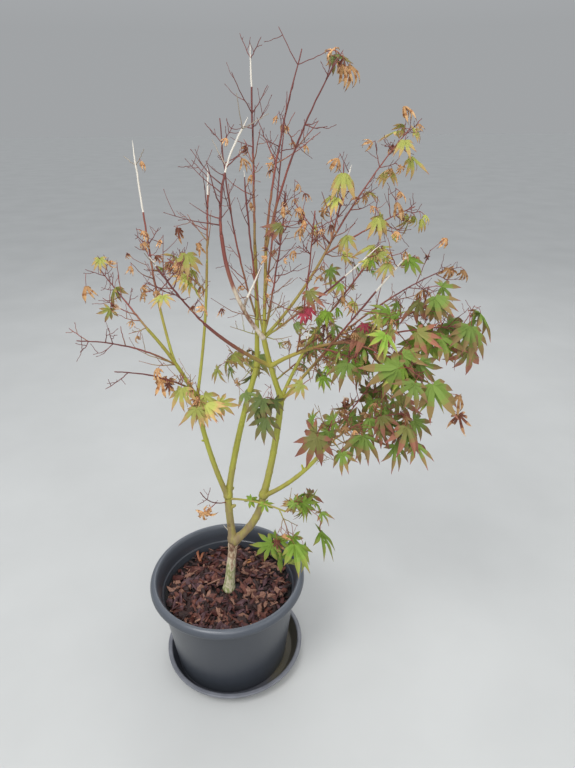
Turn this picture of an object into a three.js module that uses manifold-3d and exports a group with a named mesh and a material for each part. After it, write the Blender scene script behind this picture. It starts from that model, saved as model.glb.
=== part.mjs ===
// A small Japanese maple in a round plastic pot with a saucer.
// Millimetres, +Z up, +X to the right and +Y away from the viewer.
// The origin is on the pot's axis, on the ground under the saucer.
import * as THREE from 'three';
import { mergeVertices } from 'three/addons/utils/BufferGeometryUtils.js';
import Module from 'manifold-3d';

const wasm = await Module();
wasm.setup();

// Pot and saucer
const GAP = 0.3;
const ROUND_STEPS = 32;
const SAUCER_RADIUS = 180;
const SAUCER_HEIGHT = 36;
const SAUCER_FLOOR = 4;
const SAUCER_LIP = 10;
const SAUCER_SHIFT = new THREE.Vector2(8.7, 0.3);
const POT_HEIGHT = 271;
const POT_RADIUS = 195;
const POT_FOOT_RADIUS = 143;
const POT_NECK_RADIUS = 174;
const POT_BAND = 22;
const POT_WALL = 4;
const POT_FLOOR = 5;

// Potting mix under the bark
const MIX_LEVEL = 208;
const MIX_INSET = 0.4;
const MIX_RINGS = 4;
const MIX_BUMP = 2.4;
const MIX_WAVE = 16;
const FLAT_PATCH = 34;
const FLAT_EDGE = 20;

// Trunk
const TRUNK_FOOT = new THREE.Vector3(0, 4, MIX_LEVEL + GAP);
const LEVEL_BAND = 6;
const ROOT_FLARE = 4.5;
const FLARE_HEIGHT = 0.1;
const GRAFT_SWELL = 2.5;
const GRAFT_PLACE = 0.95;
const GRAFT_WIDTH = 0.07;

// Limbs and stems
const UP = new THREE.Vector3(0, 0, 1);
const SIDEWAYS = new THREE.Vector3(1, 0, 0);
const STEEP = 0.9;
const TRUNK_STEPS = 7;
const LIMB_STEPS = 5;
const STEM_STEPS = 5;
const TRUNK_SIDES = 12;
const THICK_SIDES = 8;
const THIN_SIDES = 5;
const THICK_LIMB = 10;
const STEM_TIP = 2;
const END_WIDTH = 0.8;
const END_PLACE = 0.6;

// Room between masses and round limbs
const LIMB_MARGIN = 4;
const SPACE_MARGIN = 6;

// Twigs
const TWIG_STEPS = 2;
const TWIG_SIDES = 3;
const TWIG_ROOT = 0.6;
const TWIG_GIRTH = 1.8;
const TWIG_TIP = 1.3;
const TWIG_RISE = 0.5;
const TWIG_SHORTENING = 0.5;
const TWIG_LENGTH = [0.7, 1.3];
const PAIR_PLACE = 0.7;
const PAIR_STRAY = 40;
const SPREAD_STRAY = 20;

// Leaves
const LIGHT = new THREE.Vector3(0, -0.6, 0.8);
const LEAF_NODES = [0.6, 0.96];
const LEAF_SPREAD = 55;
const LEAF_SIZE = [0.75, 1.2];
const LEAF_STALK = [0.3, 0.6];
const LEAF_MIDDLE = 0.4;
const LEAF_ROOM = 0.65;
const LEAF_THICKNESS = 2;
const LEAF_CURL = 0.22;
const HEADING_STRAY = 80;
const DROOP_STRAY = 40;
const STALK_SINK = 1.2;
const DRY_CURL = 0.5;
const DRY_SIZE = 0.5;
const FINEST_EDGE = 0.2;
const LEAFY = 2;

function limb([from, at], [heading, climb, length, turn, lift], girth) {
  return { from, at, heading, climb, length, turn, lift, girth };
}

function mass(place, way, girth, [pairs, reach, spread], [leaf, share, dry, droop], seed) {
  return { ...limb(place, way, [girth, STEM_TIP]), pairs, reach, spread, leaf, share, dry, droop, seed };
}

const TRUNK = limb([], [-12, 83, 162, 0, 0], [26, 21]);

// Limb and place on it; heading, climb, length, turn and lift on the way; girth at both ends
const LIMBS = {
  left_foot: limb(['trunk', 1], [131, 81, 128, 0, 8], [19, 17]),
  right_foot: limb(['trunk', 1], [-7, 41, 166, 0, 40], [20, 17]),
  left_stem: limb(['left_foot', 1], [-146, 72, 297, 0, 12], [13, 10]),
  middle_stem: limb(['left_foot', 1], [41, 78, 327, 0, -12], [16, 12]),
  centre_stem: limb(['right_foot', 1], [0, 76, 263, 0, 8], [17, 14]),
  right_bough: limb(['right_foot', 1], [-30, 38, 245, 0, 22], [11, 8]),
  low_bough: limb(['left_foot', 0.96], [-32, 22, 165, 0, -24], [5, 4]),
  centre_limb: limb(['centre_stem', 1], [164, 70, 140, 0, 10], [12, 11]),
  mid_limb: limb(['centre_stem', 1], [32, 62, 172, 0, -10], [8, 6]),
  low_limb: limb(['centre_stem', 0.97], [-23, 53, 212, 0, 0], [7, 5]),
  left_limb: limb(['centre_limb', 0.55], [-148, 33, 189, 0, 15], [9, 6]),
  right_limb: limb(['centre_limb', 0.55], [-24, 37, 180, 0, -22], [9, 6]),
  left_fork: limb(['left_stem', 1], [-162, 70, 181, 0, -14], [9, 6]),
  left_leader: limb(['left_stem', 0.95], [61, 69, 292, 0, 14], [7, 5]),
  left_tall: limb(['left_fork', 0.5], [127, 64, 134, 0, 10], [6, 5]),
  red_curve: limb(['centre_limb', 1], [-150, 52, 238, 0, 35], [9, 7]),
  centre_top: limb(['centre_limb', 1], [74, 79, 197, 0, 4], [8, 6]),
  fan_limb: limb(['centre_limb', 1], [24, 41, 234, 0, 18], [7, 5]),
  middle_top: limb(['middle_stem', 1], [83, 76, 272, 0, 18], [11, 7]),
};

// The same for a mass's stem; pairs of twigs, reach, spread; leaf size, share borne, share dry, droop; seed
const MASSES = {
  left_far: mass(['left_fork', 1], [132, 27, 163, 20, 20], 4.5, [3, 70, 55], [40, 0.24, 0.4, 65], 38),
  left_side: mass(['left_fork', 0.45], [-143, 42, 216, 0, -28], 4, [3, 80, 50], [44, 0.1, 0.9, 50], 52),
  left_low: mass(['left_fork', 0.1], [-133, 40, 196, 0, -20], 4, [2, 70, 50], [53, 0.4, 0.6, 61], 56),
  left_collar: mass(['left_stem', 0.93], [-69, 51, 59, 0, -10], 3.5, [2, 40, 50], [58, 0.85, 0.1, 25], 7),
  left_crown: mass(['left_tall', 1], [118, 75, 294, 0, 8], 4.5, [2, 60, 60], [44, 0.08, 0.9, 50], 26),
  left_mid: mass(['left_leader', 0.8], [155, 39, 108, 0, -10], 3.5, [2, 60, 50], [50, 0.39, 0.4, 49], 14),
  left_spire: mass(['left_leader', 1], [77, 77, 182, 0, 0], 4, [3, 80, 50], [44, 0.1, 0.9, 50], 27),
  left_inner: mass(['left_limb', 1], [-142, 51, 173, 0, 10], 4, [3, 90, 50], [42, 0.12, 0.6, 50], 34),
  red_top: mass(['red_curve', 1], [80, 92, 210, -115, -39], 5.5, [3, 90, 45], [44, 0.06, 0.9, 37], 48),
  back_top: mass(['middle_top', 1], [87, 81, 371, 0, 8], 5.5, [4, 110, 45], [44, 0.12, 0.9, 50], 53),
  tall_top: mass(['centre_top', 1], [22, 83, 338, 0, -12], 5, [4, 100, 45], [44, 0.1, 0.9, 50], 7),
  inner_left: mass(['centre_limb', 1], [120, 73, 330, 0, 12], 4.5, [3, 80, 45], [44, 0.24, 0.9, 50], 58),
  inner_right: mass(['centre_limb', 1], [-44, 73, 302, 0, 8], 4.5, [3, 80, 45], [38, 0.3, 0.9, 47], 43),
  tall_right: mass(['centre_top', 0.9], [-35, 75, 361, 0, -20], 5, [3, 80, 45], [42, 0.16, 0.7, 32], 11),
  inner_top: mass(['middle_top', 0.4], [-149, 73, 411, 0, 16], 4.5, [3, 80, 45], [38, 0.1, 0.9, 50], 27),
  slim_top: mass(['centre_top', 0.4], [69, 67, 365, 0, 6], 4.5, [3, 90, 45], [38, 0.2, 0.9, 50], 35),
  mid_fan: mass(['right_limb', 0.4], [-76, 63, 322, 0, 12], 4, [3, 80, 50], [38, 0.4, 0.7, 50], 5),
  fan_inner: mass(['centre_limb', 1], [-23, 38, 313, 0, 8], 4, [3, 75, 50], [40, 0.31, 0.6, 47], 56),
  fan_low: mass(['low_limb', 0.5], [-38, 53, 338, 0, 0], 4, [3, 75, 50], [40, 0.31, 0.6, 55], 16),
  back_low: mass(['centre_limb', 0.3], [49, 14, 214, 0, 0], 4, [3, 70, 50], [50, 0.7, 0.2, 44], 37),
  fan_top: mass(['fan_limb', 1], [36, 71, 158, 0, 0], 4, [3, 70, 50], [53, 0.65, 0.2, 48], 58),
  upper_right: mass(['fan_limb', 0.85], [31, 56, 326, 0, -15], 4, [4, 75, 50], [46, 0.5, 0.4, 33], 32),
  fan_right: mass(['fan_limb', 0.9], [-6, 34, 199, 0, -10], 4, [3, 70, 50], [57, 0.7, 0.3, 62], 56),
  mid_right: mass(['mid_limb', 1], [-10, 53, 204, 0, 5], 4, [3, 80, 50], [44, 0.78, 0.5, 38], 25),
  right_back: mass(['low_limb', 1], [32, 28, 308, 0, -20], 4, [4, 90, 50], [40, 0.15, 0.8, 63], 14),
  cluster_top: mass(['right_limb', 0.85], [-8, 21, 209, 0, 10], 4, [3, 70, 50], [62, 1, 0.1, 24], 13),
  cluster: mass(['right_limb', 1], [-1, 14, 246, 0, -12], 4.5, [4, 80, 55], [81, 1, 0.05, 56], 16),
  cluster_low: mass(['right_limb', 1], [-42, 7, 180, 0, -30], 4, [3, 60, 55], [73, 0.8, 0, 41], 44),
  right_inner: mass(['right_limb', 0.6], [-44, 17, 118, 0, -30], 4, [3, 60, 50], [60, 0.8, 0, 61], 49),
  bough_tip: mass(['right_bough', 0.85], [-75, 58, 160, 0, 0], 4, [2, 50, 50], [66, 0.66, 0.1, 64], 49),
  bough_top: mass(['right_bough', 1], [40, 43, 196, 0, -10], 4, [2, 60, 50], [73, 1, 0.05, 73], 23),
  bough_right: mass(['right_bough', 1], [-15, 54, 185, 0, -40], 4.5, [4, 75, 55], [64, 1, 0.1, 41], 50),
  low_spray: mass(['low_bough', 1], [-1, 22, 56, 0, -10], 3, [2, 50, 50], [55, 0.94, 0, 56], 22),
  low_hang: mass(['low_bough', 0.9], [-60, -28, 64, 0, -30], 3, [2, 50, 50], [70, 1, 0, 67], 3),
  foot_twig: mass(['left_foot', 0.9], [-128, 17, 119, 0, 50], 2.6, [1, 40, 60], [46, 0.28, 1, 80], 18),
  centre_leaves: mass(['middle_stem', 0.97], [143, 22, 87, 0, 0], 3, [2, 50, 50], [54, 0.68, 0, 50], 48),
  hanging: mass(['centre_stem', 0.88], [-122, 72, 81, 0, -50], 3, [1, 40, 50], [56, 0.35, 0, 70], 5),
};

const COLOURS = {
  plastic: { color: 0x3b3f47, roughness: 0.5, metalness: 0 },
  bark_chips: { color: 0x5a3226, roughness: 0.95, metalness: 0 },
  trunk_bark: { color: 0x8c8064, roughness: 0.85, metalness: 0 },
  green_bark: { color: 0x8f9430, roughness: 0.6, metalness: 0 },
  red_bark: { color: 0x6b3228, roughness: 0.6, metalness: 0 },
  leaves: { color: 0x7d8f3a, roughness: 0.7, metalness: 0 },
};

const radians = THREE.MathUtils.degToRad;
const between = THREE.MathUtils.lerp;

function random(seed) {
  let state = (seed * 7919 + 101) % 2147483647;
  const draw = () => {
    state = (state * 48271) % 2147483647;
    return state / 2147483647;
  };
  draw();
  draw();
  return draw;
}

function bearing(heading, climb) {
  const flat = Math.cos(radians(climb));
  return new THREE.Vector3(
    flat * Math.cos(radians(heading)),
    flat * Math.sin(radians(heading)),
    Math.sin(radians(climb)),
  );
}

// A limb's middle line, turning and lifting evenly on its way
function limbLine(start, limb, steps) {
  const line = [start.clone()];
  for (let step = 0; step < steps; step += 1) {
    const part = (step + 0.5) / steps;
    const way = bearing(limb.heading + limb.turn * part, limb.climb + limb.lift * part);
    line.push(line[step].clone().addScaledVector(way, limb.length / steps));
  }
  return line;
}

// A twig's middle line, bending upwards as it goes
function twigLine(start, way, length, rise) {
  const line = [start.clone()];
  for (let step = 0; step < TWIG_STEPS; step += 1) {
    const bent = way.clone().addScaledVector(UP, rise * (step + 0.5) / TWIG_STEPS).normalize();
    line.push(line[step].clone().addScaledVector(bent, length / TWIG_STEPS));
  }
  return line;
}

function pointAt(line, part) {
  const place = part * (line.length - 1);
  const step = Math.min(Math.floor(place), line.length - 2);
  return line[step].clone().lerp(line[step + 1], place - step);
}

function wayAt(line, part) {
  const step = Math.min(Math.floor(part * (line.length - 1)), line.length - 2);
  return line[step + 1].clone().sub(line[step]).normalize();
}

// A direction square to the way, at an angle round it
function squareTo(way, angle) {
  const reference = Math.abs(way.z) < STEEP ? UP : SIDEWAYS;
  const side = way.clone().cross(reference).normalize();
  const top = side.clone().cross(way);
  side.multiplyScalar(Math.cos(radians(angle)));
  return side.addScaledVector(top, Math.sin(radians(angle)));
}

function branchWay(way, angle, spread) {
  const out = squareTo(way, angle);
  const kept = way.clone().multiplyScalar(Math.cos(radians(spread)));
  return kept.addScaledVector(out, Math.sin(radians(spread)));
}

function distanceToLine(point, line) {
  let nearest = Infinity;
  for (let step = 0; step < line.length - 1; step += 1) {
    const run = line[step + 1].clone().sub(line[step]);
    const reach = point.clone().sub(line[step]);
    const part = Math.min(Math.max(reach.dot(run) / run.lengthSq(), 0), 1);
    nearest = Math.min(nearest, reach.addScaledVector(run, -part).length());
  }
  return nearest;
}

function bare(geometry) {
  geometry.deleteAttribute('normal');
  geometry.deleteAttribute('uv');
  return mergeVertices(geometry);
}

function toSolid(geometry) {
  const clean = bare(geometry);
  return new wasm.Manifold(new wasm.Mesh({
    numProp: 3,
    vertProperties: new Float32Array(clean.attributes.position.array),
    triVerts: new Uint32Array(clean.index.array),
  }));
}

function toGeometry(solid) {
  const cut = solid.getMesh();
  const geometry = new THREE.BufferGeometry();
  geometry.setAttribute('position', new THREE.BufferAttribute(new Float32Array(cut.vertProperties), 3));
  geometry.setIndex(new THREE.BufferAttribute(new Uint32Array(cut.triVerts), 1));
  geometry.computeVertexNormals();
  return geometry;
}

// The largest piece of a solid, so scraps and sealed hollows drop out
function largest(solid) {
  let best = null;
  for (const piece of solid.decompose()) {
    if (best === null || piece.volume() > best.volume()) best = piece;
  }
  return best;
}

// A tapering round bar along a line, with a rounded far end
function barGeometry(line, radiusAt, sides, grow = 0) {
  const last = line.length - 1;
  const geometry = new THREE.CylinderGeometry(1, 1, 1, sides, last + 1);
  const ways = line.map((point, step) => {
    const before = line[Math.max(step - 1, 0)];
    const after = line[Math.min(step + 1, last)];
    return after.clone().sub(before).normalize();
  });
  const sidesOf = [squareTo(ways[0], 0)];
  for (let step = 1; step <= last; step += 1) {
    const side = sidesOf[step - 1].clone();
    sidesOf.push(side.addScaledVector(ways[step], -side.dot(ways[step])).normalize());
  }
  const position = geometry.attributes.position;
  for (let index = 0; index < position.count; index += 1) {
    const across = position.getX(index);
    const deep = position.getZ(index);
    const ring = Math.round((position.getY(index) + 0.5) * (last + 1));
    const step = Math.min(ring, last);
    const radius = radiusAt(step / last) + grow;
    const centreOfCap = Math.hypot(across, deep) < 0.5;
    let shift = ring === 0 ? -grow : 0;
    let scale = radius;
    if (ring > last) {
      shift = centreOfCap ? radius : radius * END_PLACE;
      scale = radius * END_WIDTH;
    }
    const point = line[step].clone().addScaledVector(ways[step], shift);
    const back = sidesOf[step].clone().cross(ways[step]);
    point.addScaledVector(sidesOf[step], across * scale).addScaledVector(back, deep * scale);
    position.setXYZ(index, point.x, point.y, point.z);
  }
  return geometry;
}

// A slim twig along a line, from its root to a blunt tip
function twigGeometry(line, girth) {
  const last = line.length - 1;
  const geometry = new THREE.CylinderGeometry(1, 1, 1, TWIG_SIDES, last);
  const position = geometry.attributes.position;
  for (let index = 0; index < position.count; index += 1) {
    const [across, deep] = [position.getX(index), position.getZ(index)];
    const step = Math.round((position.getY(index) + 0.5) * last);
    const way = wayAt(line, step / last);
    const side = squareTo(way, 0);
    const back = side.clone().cross(way);
    const radius = between(girth, TWIG_TIP, step / last) / 2;
    const point = line[step].clone();
    point.addScaledVector(side, radius * across).addScaledVector(back, radius * deep);
    position.setXYZ(index, point.x, point.y, point.z);
  }
  return geometry;
}

function taper(from, to) {
  return (part) => between(from, to, part) / 2;
}

// Swollen at the graft and flared at the roots
function trunkRadius(part) {
  const flare = ROOT_FLARE * Math.exp(-part / FLARE_HEIGHT);
  const swell = GRAFT_SWELL * Math.exp(-(((part - GRAFT_PLACE) / GRAFT_WIDTH) ** 2));
  return between(TRUNK.girth[0], TRUNK.girth[1], part) / 2 + flare + swell;
}

// Every limb with its middle line, worked out from its parent's
function limbLines() {
  const lines = { trunk: limbLine(TRUNK_FOOT, TRUNK, TRUNK_STEPS) };
  for (const [name, limb] of Object.entries(LIMBS)) {
    lines[name] = limbLine(pointAt(lines[limb.from], limb.at), limb, LIMB_STEPS);
  }
  return lines;
}

function massLines(lines) {
  const stems = {};
  for (const [name, mass] of Object.entries(MASSES)) {
    stems[name] = limbLine(pointAt(lines[mass.from], mass.at), mass, STEM_STEPS);
  }
  return stems;
}

function thickest(name) {
  return name === 'trunk' ? TRUNK.girth[0] / 2 : LIMBS[name].girth[0] / 2;
}

// True where every point lies in the mass's own space and clear of the limbs
function keepsClear(points, name, lines, stems) {
  for (const point of points) {
    const own = distanceToLine(point, stems[name]);
    for (const [other, stem] of Object.entries(stems)) {
      if (other !== name && distanceToLine(point, stem) < own + SPACE_MARGIN) return false;
    }
    for (const [limb, line] of Object.entries(lines)) {
      if (distanceToLine(point, line) < thickest(limb) + LIMB_MARGIN) return false;
    }
  }
  return true;
}

// A leaf's outline after its stalk: angle from its tip and reach, as a share of its length
const LOBES = [
  [140, 0.08], [84, 0.62], [60, 0.28], [38, 0.9], [19, 0.36],
  [0, 1], [-19, 0.36], [-38, 0.9], [-60, 0.28], [-84, 0.62], [-140, 0.08],
];

function leafPoints(leaf) {
  const across = leaf.along.clone().cross(leaf.face);
  return LOBES.map(([angle, share]) => {
    const reach = share * leaf.size;
    const point = leaf.root.clone();
    point.addScaledVector(leaf.along, reach * Math.cos(radians(angle)));
    point.addScaledVector(across, reach * Math.sin(radians(angle)));
    return point.addScaledVector(leaf.face, -leaf.curl * leaf.size * share * share);
  });
}

// A leaf: a star and its stalk in one outline, thickest where they meet
function leafGeometry(leaf) {
  const outline = [leaf.from, ...leafPoints(leaf)];
  const count = outline.length;
  const geometry = new THREE.SphereGeometry(1, count, 2);
  const position = geometry.attributes.position;
  for (let row = 0; row < 3; row += 1) {
    for (let column = 0; column <= count; column += 1) {
      const half = (1 - row) * LEAF_THICKNESS / 2;
      const point = row === 1 ? outline[column % count] : leaf.root.clone().addScaledVector(leaf.face, half);
      position.setXYZ(row * (count + 1) + column, point.x, point.y, point.z);
    }
  }
  return geometry;
}

// A leaf set off to one side of a twig, drooping and turned to the light
function growLeaf(line, part, side, mass, draw) {
  const out = branchWay(wayAt(line, part), side, LEAF_SPREAD);
  const dry = draw() < mass.dry;
  const size = mass.leaf * between(...LEAF_SIZE, draw()) * (dry ? DRY_SIZE : 1);
  const heading = Math.atan2(out.y, out.x) / radians(1) + HEADING_STRAY * (draw() - 0.5);
  const along = bearing(heading, -mass.droop - DROOP_STRAY * (draw() - 0.5));
  const glance = new THREE.Vector3(draw() - 0.5, draw() - 0.5, draw() - 0.5).add(LIGHT);
  const face = glance.addScaledVector(along, -glance.dot(along)).normalize();
  const held = pointAt(line, part);
  const root = held.clone().addScaledVector(along, size * between(...LEAF_STALK, draw()));
  const middle = root.clone().addScaledVector(along, size * LEAF_MIDDLE);
  const from = held.addScaledVector(along, -STALK_SINK);
  const curl = dry ? DRY_CURL : LEAF_CURL;
  return { from, root, middle, along, face, size, dry, curl, present: draw() < mass.share };
}

// The seeded rule: opposite pairs of twigs up the stem, each pair turned a quarter round
function growMass(name, lines, stems) {
  const mass = MASSES[name];
  const stem = stems[name];
  const twigs = [];
  const leaves = [];
  const addLeaf = (line, part, side, draw) => {
    const leaf = growLeaf(line, part, side, mass, draw);
    const tooNear = (other) => other.middle.distanceTo(leaf.middle) < LEAF_ROOM * leaf.size;
    const crowded = leaves.some(tooNear);
    if (!leaf.present || crowded) return;
    if (keepsClear([leaf.root, ...leafPoints(leaf)], name, lines, stems)) leaves.push(leaf);
  };
  const turn = 360 * random(mass.seed)();
  for (let pair = 0; pair < mass.pairs; pair += 1) {
    for (const side of [0, 1]) {
      const draw = random(mass.seed * 1000 + pair * 2 + side);
      const part = (pair + PAIR_PLACE) / mass.pairs;
      const angle = turn + 90 * pair + 180 * side + PAIR_STRAY * (draw() - 0.5);
      const way = branchWay(wayAt(stem, part), angle, mass.spread + SPREAD_STRAY * (draw() - 0.5));
      const length = mass.reach * (1 - TWIG_SHORTENING * part) * between(...TWIG_LENGTH, draw());
      const line = twigLine(pointAt(stem, part), way, length, TWIG_RISE * draw());
      if (!keepsClear(line.slice(1), name, lines, stems)) continue;
      twigs.push({ line, girth: between(mass.girth[0] * TWIG_ROOT, TWIG_GIRTH, part) });
      const leafAngle = 360 * draw();
      for (const node of LEAF_NODES) {
        addLeaf(line, node, leafAngle + 90 * node, draw);
        addLeaf(line, node, leafAngle + 90 * node + 180, draw);
      }
    }
  }
  const tipDraw = random(mass.seed * 1000 + 999);
  const tipAngle = 360 * tipDraw();
  for (const third of [0, 120, 240]) addLeaf(stem, LEAF_NODES[1], tipAngle + third, tipDraw);
  return { twigs, leaves };
}

function bounds(solid) {
  const box = solid.boundingBox();
  return new THREE.Box3(new THREE.Vector3(...box.min), new THREE.Vector3(...box.max));
}

// Cuts a solid clear of each grown neighbour whose box it meets
function cutClear(solid, grown) {
  let result = solid;
  for (const other of grown) {
    if (bounds(result).intersectsBox(bounds(other))) result = largest(result.subtract(other));
  }
  return result;
}

function levelFoot(geometry, height) {
  const position = geometry.attributes.position;
  for (let index = 0; index < position.count; index += 1) {
    if (position.getZ(index) < height + LEVEL_BAND) position.setZ(index, height);
  }
  return geometry;
}

function potGeometry() {
  const foot = SAUCER_FLOOR + GAP;
  const neck = POT_HEIGHT - POT_BAND;
  const mouth = POT_RADIUS - 15;
  const profile = [
    [0, foot], [POT_FOOT_RADIUS, foot], [POT_FOOT_RADIUS + 2, foot + 4],
    [POT_NECK_RADIUS, neck], [POT_RADIUS - 3, neck], [POT_RADIUS - 1, neck + 3],
    [POT_RADIUS, neck + 8], [POT_RADIUS - 1.5, POT_HEIGHT - 5], [POT_RADIUS - 6, POT_HEIGHT],
    [POT_RADIUS - 12, POT_HEIGHT], [mouth, POT_HEIGHT - 3], [mouth - 3, neck + 6],
    [POT_NECK_RADIUS - POT_WALL, neck - 3], [POT_FOOT_RADIUS - POT_WALL, foot + POT_FLOOR],
    [0, foot + POT_FLOOR],
  ];
  return new THREE.LatheGeometry(profile.map(([r, z]) => new THREE.Vector2(r, z)), ROUND_STEPS);
}

function saucerGeometry() {
  const inner = SAUCER_RADIUS - SAUCER_LIP;
  const profile = [
    [0, 0], [SAUCER_RADIUS - 24, 0], [SAUCER_RADIUS - 20, 2], [SAUCER_RADIUS - 4, SAUCER_HEIGHT - 6],
    [SAUCER_RADIUS, SAUCER_HEIGHT - 4], [SAUCER_RADIUS, SAUCER_HEIGHT - 1],
    [SAUCER_RADIUS - 2, SAUCER_HEIGHT], [inner, SAUCER_HEIGHT], [inner - 3, SAUCER_HEIGHT - 4],
    [inner - 17, SAUCER_FLOOR], [0, SAUCER_FLOOR],
  ];
  return new THREE.LatheGeometry(profile.map(([r, z]) => new THREE.Vector2(r, z)), ROUND_STEPS);
}

// Radius of the pot's inner wall at a height
function potInside(height) {
  const foot = SAUCER_FLOOR + GAP + POT_FLOOR;
  const neck = POT_HEIGHT - POT_BAND - 3;
  const part = (height - foot) / (neck - foot);
  return between(POT_FOOT_RADIUS, POT_NECK_RADIUS, part) - POT_WALL;
}

function mixGeometry() {
  const floor = SAUCER_FLOOR + GAP + POT_FLOOR + GAP;
  const profile = [[0, floor], [potInside(floor) - MIX_INSET, floor]];
  for (let ring = 0; ring <= MIX_RINGS; ring += 1) {
    profile.push([(potInside(MIX_LEVEL - MIX_BUMP) - MIX_INSET - 1) * (1 - ring / MIX_RINGS), MIX_LEVEL]);
  }
  const geometry = new THREE.LatheGeometry(profile.map(([r, z]) => new THREE.Vector2(r, z)), ROUND_STEPS);
  const position = geometry.attributes.position;
  for (let index = 0; index < position.count; index += 1) {
    const [x, z] = [position.getX(index), position.getZ(index)];
    const bump = MIX_BUMP * Math.sin(x / MIX_WAVE) * Math.cos(z / MIX_WAVE);
    const open = THREE.MathUtils.smoothstep(Math.hypot(x, z), FLAT_PATCH, FLAT_PATCH + FLAT_EDGE);
    if (position.getY(index) > floor + 1) position.setY(index, MIX_LEVEL + bump * open);
  }
  return geometry;
}

const tree = new THREE.Group();
tree.name = 'potted_japanese_maple';

function addMesh(name, geometry, colour) {
  const mesh = new THREE.Mesh(geometry, new THREE.MeshStandardMaterial(COLOURS[colour]));
  mesh.name = name;
  tree.add(mesh);
  return mesh;
}

// Lathes turn round Y, so they are stood up to turn round Z
function addTurned(name, geometry, colour, shift) {
  const mesh = addMesh(name, bare(geometry), colour);
  mesh.rotation.x = Math.PI / 2;
  if (shift) mesh.position.set(shift.x, shift.y, 0);
}

function addLimbs(lines) {
  const grown = [];
  const addLimb = (name, radiusAt, sides, colour, shape) => {
    const geometry = shape(barGeometry(lines[name], radiusAt, sides));
    addMesh(name, toGeometry(cutClear(toSolid(geometry), grown)), colour);
    grown.push(toSolid(barGeometry(lines[name], radiusAt, sides, GAP)));
  };
  addLimb('trunk', trunkRadius, TRUNK_SIDES, 'trunk_bark', (geometry) => levelFoot(geometry, TRUNK_FOOT.z));
  for (const [name, limb] of Object.entries(LIMBS)) {
    const thick = limb.girth[0] > THICK_LIMB;
    const [sides, colour] = thick ? [THICK_SIDES, 'green_bark'] : [THIN_SIDES, 'red_bark'];
    addLimb(name, taper(...limb.girth), sides, colour, (geometry) => geometry);
  }
  return grown;
}

function addMasses(lines, stems, grown) {
  for (const [name, mass] of Object.entries(MASSES)) {
    const radiusAt = taper(...mass.girth);
    const stem = cutClear(toSolid(barGeometry(stems[name], radiusAt, THIN_SIDES)), grown);
    grown.push(toSolid(barGeometry(stems[name], radiusAt, THIN_SIDES, GAP)));
    const { twigs, leaves } = growMass(name, lines, stems);
    const parts = [stem];
    for (const twig of twigs) parts.push(toSolid(twigGeometry(twig.line, twig.girth)));
    for (const leaf of leaves) parts.push(toSolid(leafGeometry(leaf)));
    const whole = largest(wasm.Manifold.union(parts).simplify(FINEST_EDGE));
    addMesh(`${name}_foliage`, toGeometry(whole), leaves.length > LEAFY ? 'leaves' : 'red_bark');
  }
}

addTurned('saucer', saucerGeometry(), 'plastic', SAUCER_SHIFT);
addTurned('pot', potGeometry(), 'plastic');
addTurned('potting_mix', mixGeometry(), 'bark_chips');
const lines = limbLines();
const stems = massLines(lines);
addMasses(lines, stems, addLimbs(lines));

export default tree;
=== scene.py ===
"""A small japanese maple in a round plastic pot: fine limbs, twigs, lobed leaves and bark chips.

Lengths are in millimetres until a mesh is made, and in metres in materials, lights and camera.
Headings, climbs, angles and spreads are in degrees.
"""
from math import atan2, cos, degrees, pi, radians, sin, sqrt

import bpy
import numpy as np
from mathutils import Matrix, Vector


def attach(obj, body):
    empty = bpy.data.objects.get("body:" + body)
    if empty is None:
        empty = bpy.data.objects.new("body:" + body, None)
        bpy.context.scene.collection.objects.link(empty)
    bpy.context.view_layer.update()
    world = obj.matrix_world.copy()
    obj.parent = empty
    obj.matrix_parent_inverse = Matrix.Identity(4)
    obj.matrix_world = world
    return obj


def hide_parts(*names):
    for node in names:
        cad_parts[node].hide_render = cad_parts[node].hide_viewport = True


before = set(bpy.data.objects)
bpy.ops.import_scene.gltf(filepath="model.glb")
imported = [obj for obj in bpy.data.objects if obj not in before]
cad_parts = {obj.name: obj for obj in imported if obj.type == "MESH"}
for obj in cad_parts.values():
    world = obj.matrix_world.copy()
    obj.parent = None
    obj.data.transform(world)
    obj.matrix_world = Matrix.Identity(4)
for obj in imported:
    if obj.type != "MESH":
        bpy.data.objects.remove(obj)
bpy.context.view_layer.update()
METRE = 0.001

# The growth rule's named sizes, as in the part
GAP = 0.3
MIX_LEVEL = 208.0
TRUNK_FOOT = (0.0, 4.0, MIX_LEVEL + GAP)
ROOT_FLARE, FLARE_HEIGHT = 4.5, 0.1
GRAFT_SWELL, GRAFT_PLACE, GRAFT_WIDTH = 2.5, 0.95, 0.07
UP = np.array([0.0, 0.0, 1.0])
SIDEWAYS = np.array([1.0, 0.0, 0.0])
STEEP = 0.9
TRUNK_STEPS, LIMB_STEPS, STEM_STEPS, TWIG_STEPS = 7, 5, 5, 2
STEM_TIP = 2.0
LIMB_MARGIN, SPACE_MARGIN = 4.0, 6.0
TWIG_ROOT, TWIG_GIRTH, TWIG_TIP, TWIG_RISE, TWIG_SHORTENING = 0.6, 1.8, 1.3, 0.5, 0.5
TWIG_LENGTH = (0.7, 1.3)
PAIR_PLACE, PAIR_STRAY, SPREAD_STRAY = 0.7, 40.0, 20.0
LIGHT = np.array([0.0, -0.6, 0.8])
LEAF_NODES = (0.6, 0.96)
LEAF_SPREAD, LEAF_MIDDLE, LEAF_ROOM = 55.0, 0.4, 0.65
LEAF_SIZE, LEAF_STALK = (0.75, 1.2), (0.3, 0.6)
LEAF_CURL, DRY_CURL, DRY_SIZE = 0.22, 0.5, 0.5
HEADING_STRAY, DROOP_STRAY = 80.0, 40.0
CAD_LOBES = (
    (140, 0.08), (84, 0.62), (60, 0.28), (38, 0.9), (19, 0.36),
    (0, 1.0), (-19, 0.36), (-38, 0.9), (-60, 0.28), (-84, 0.62), (-140, 0.08),
)
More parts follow.
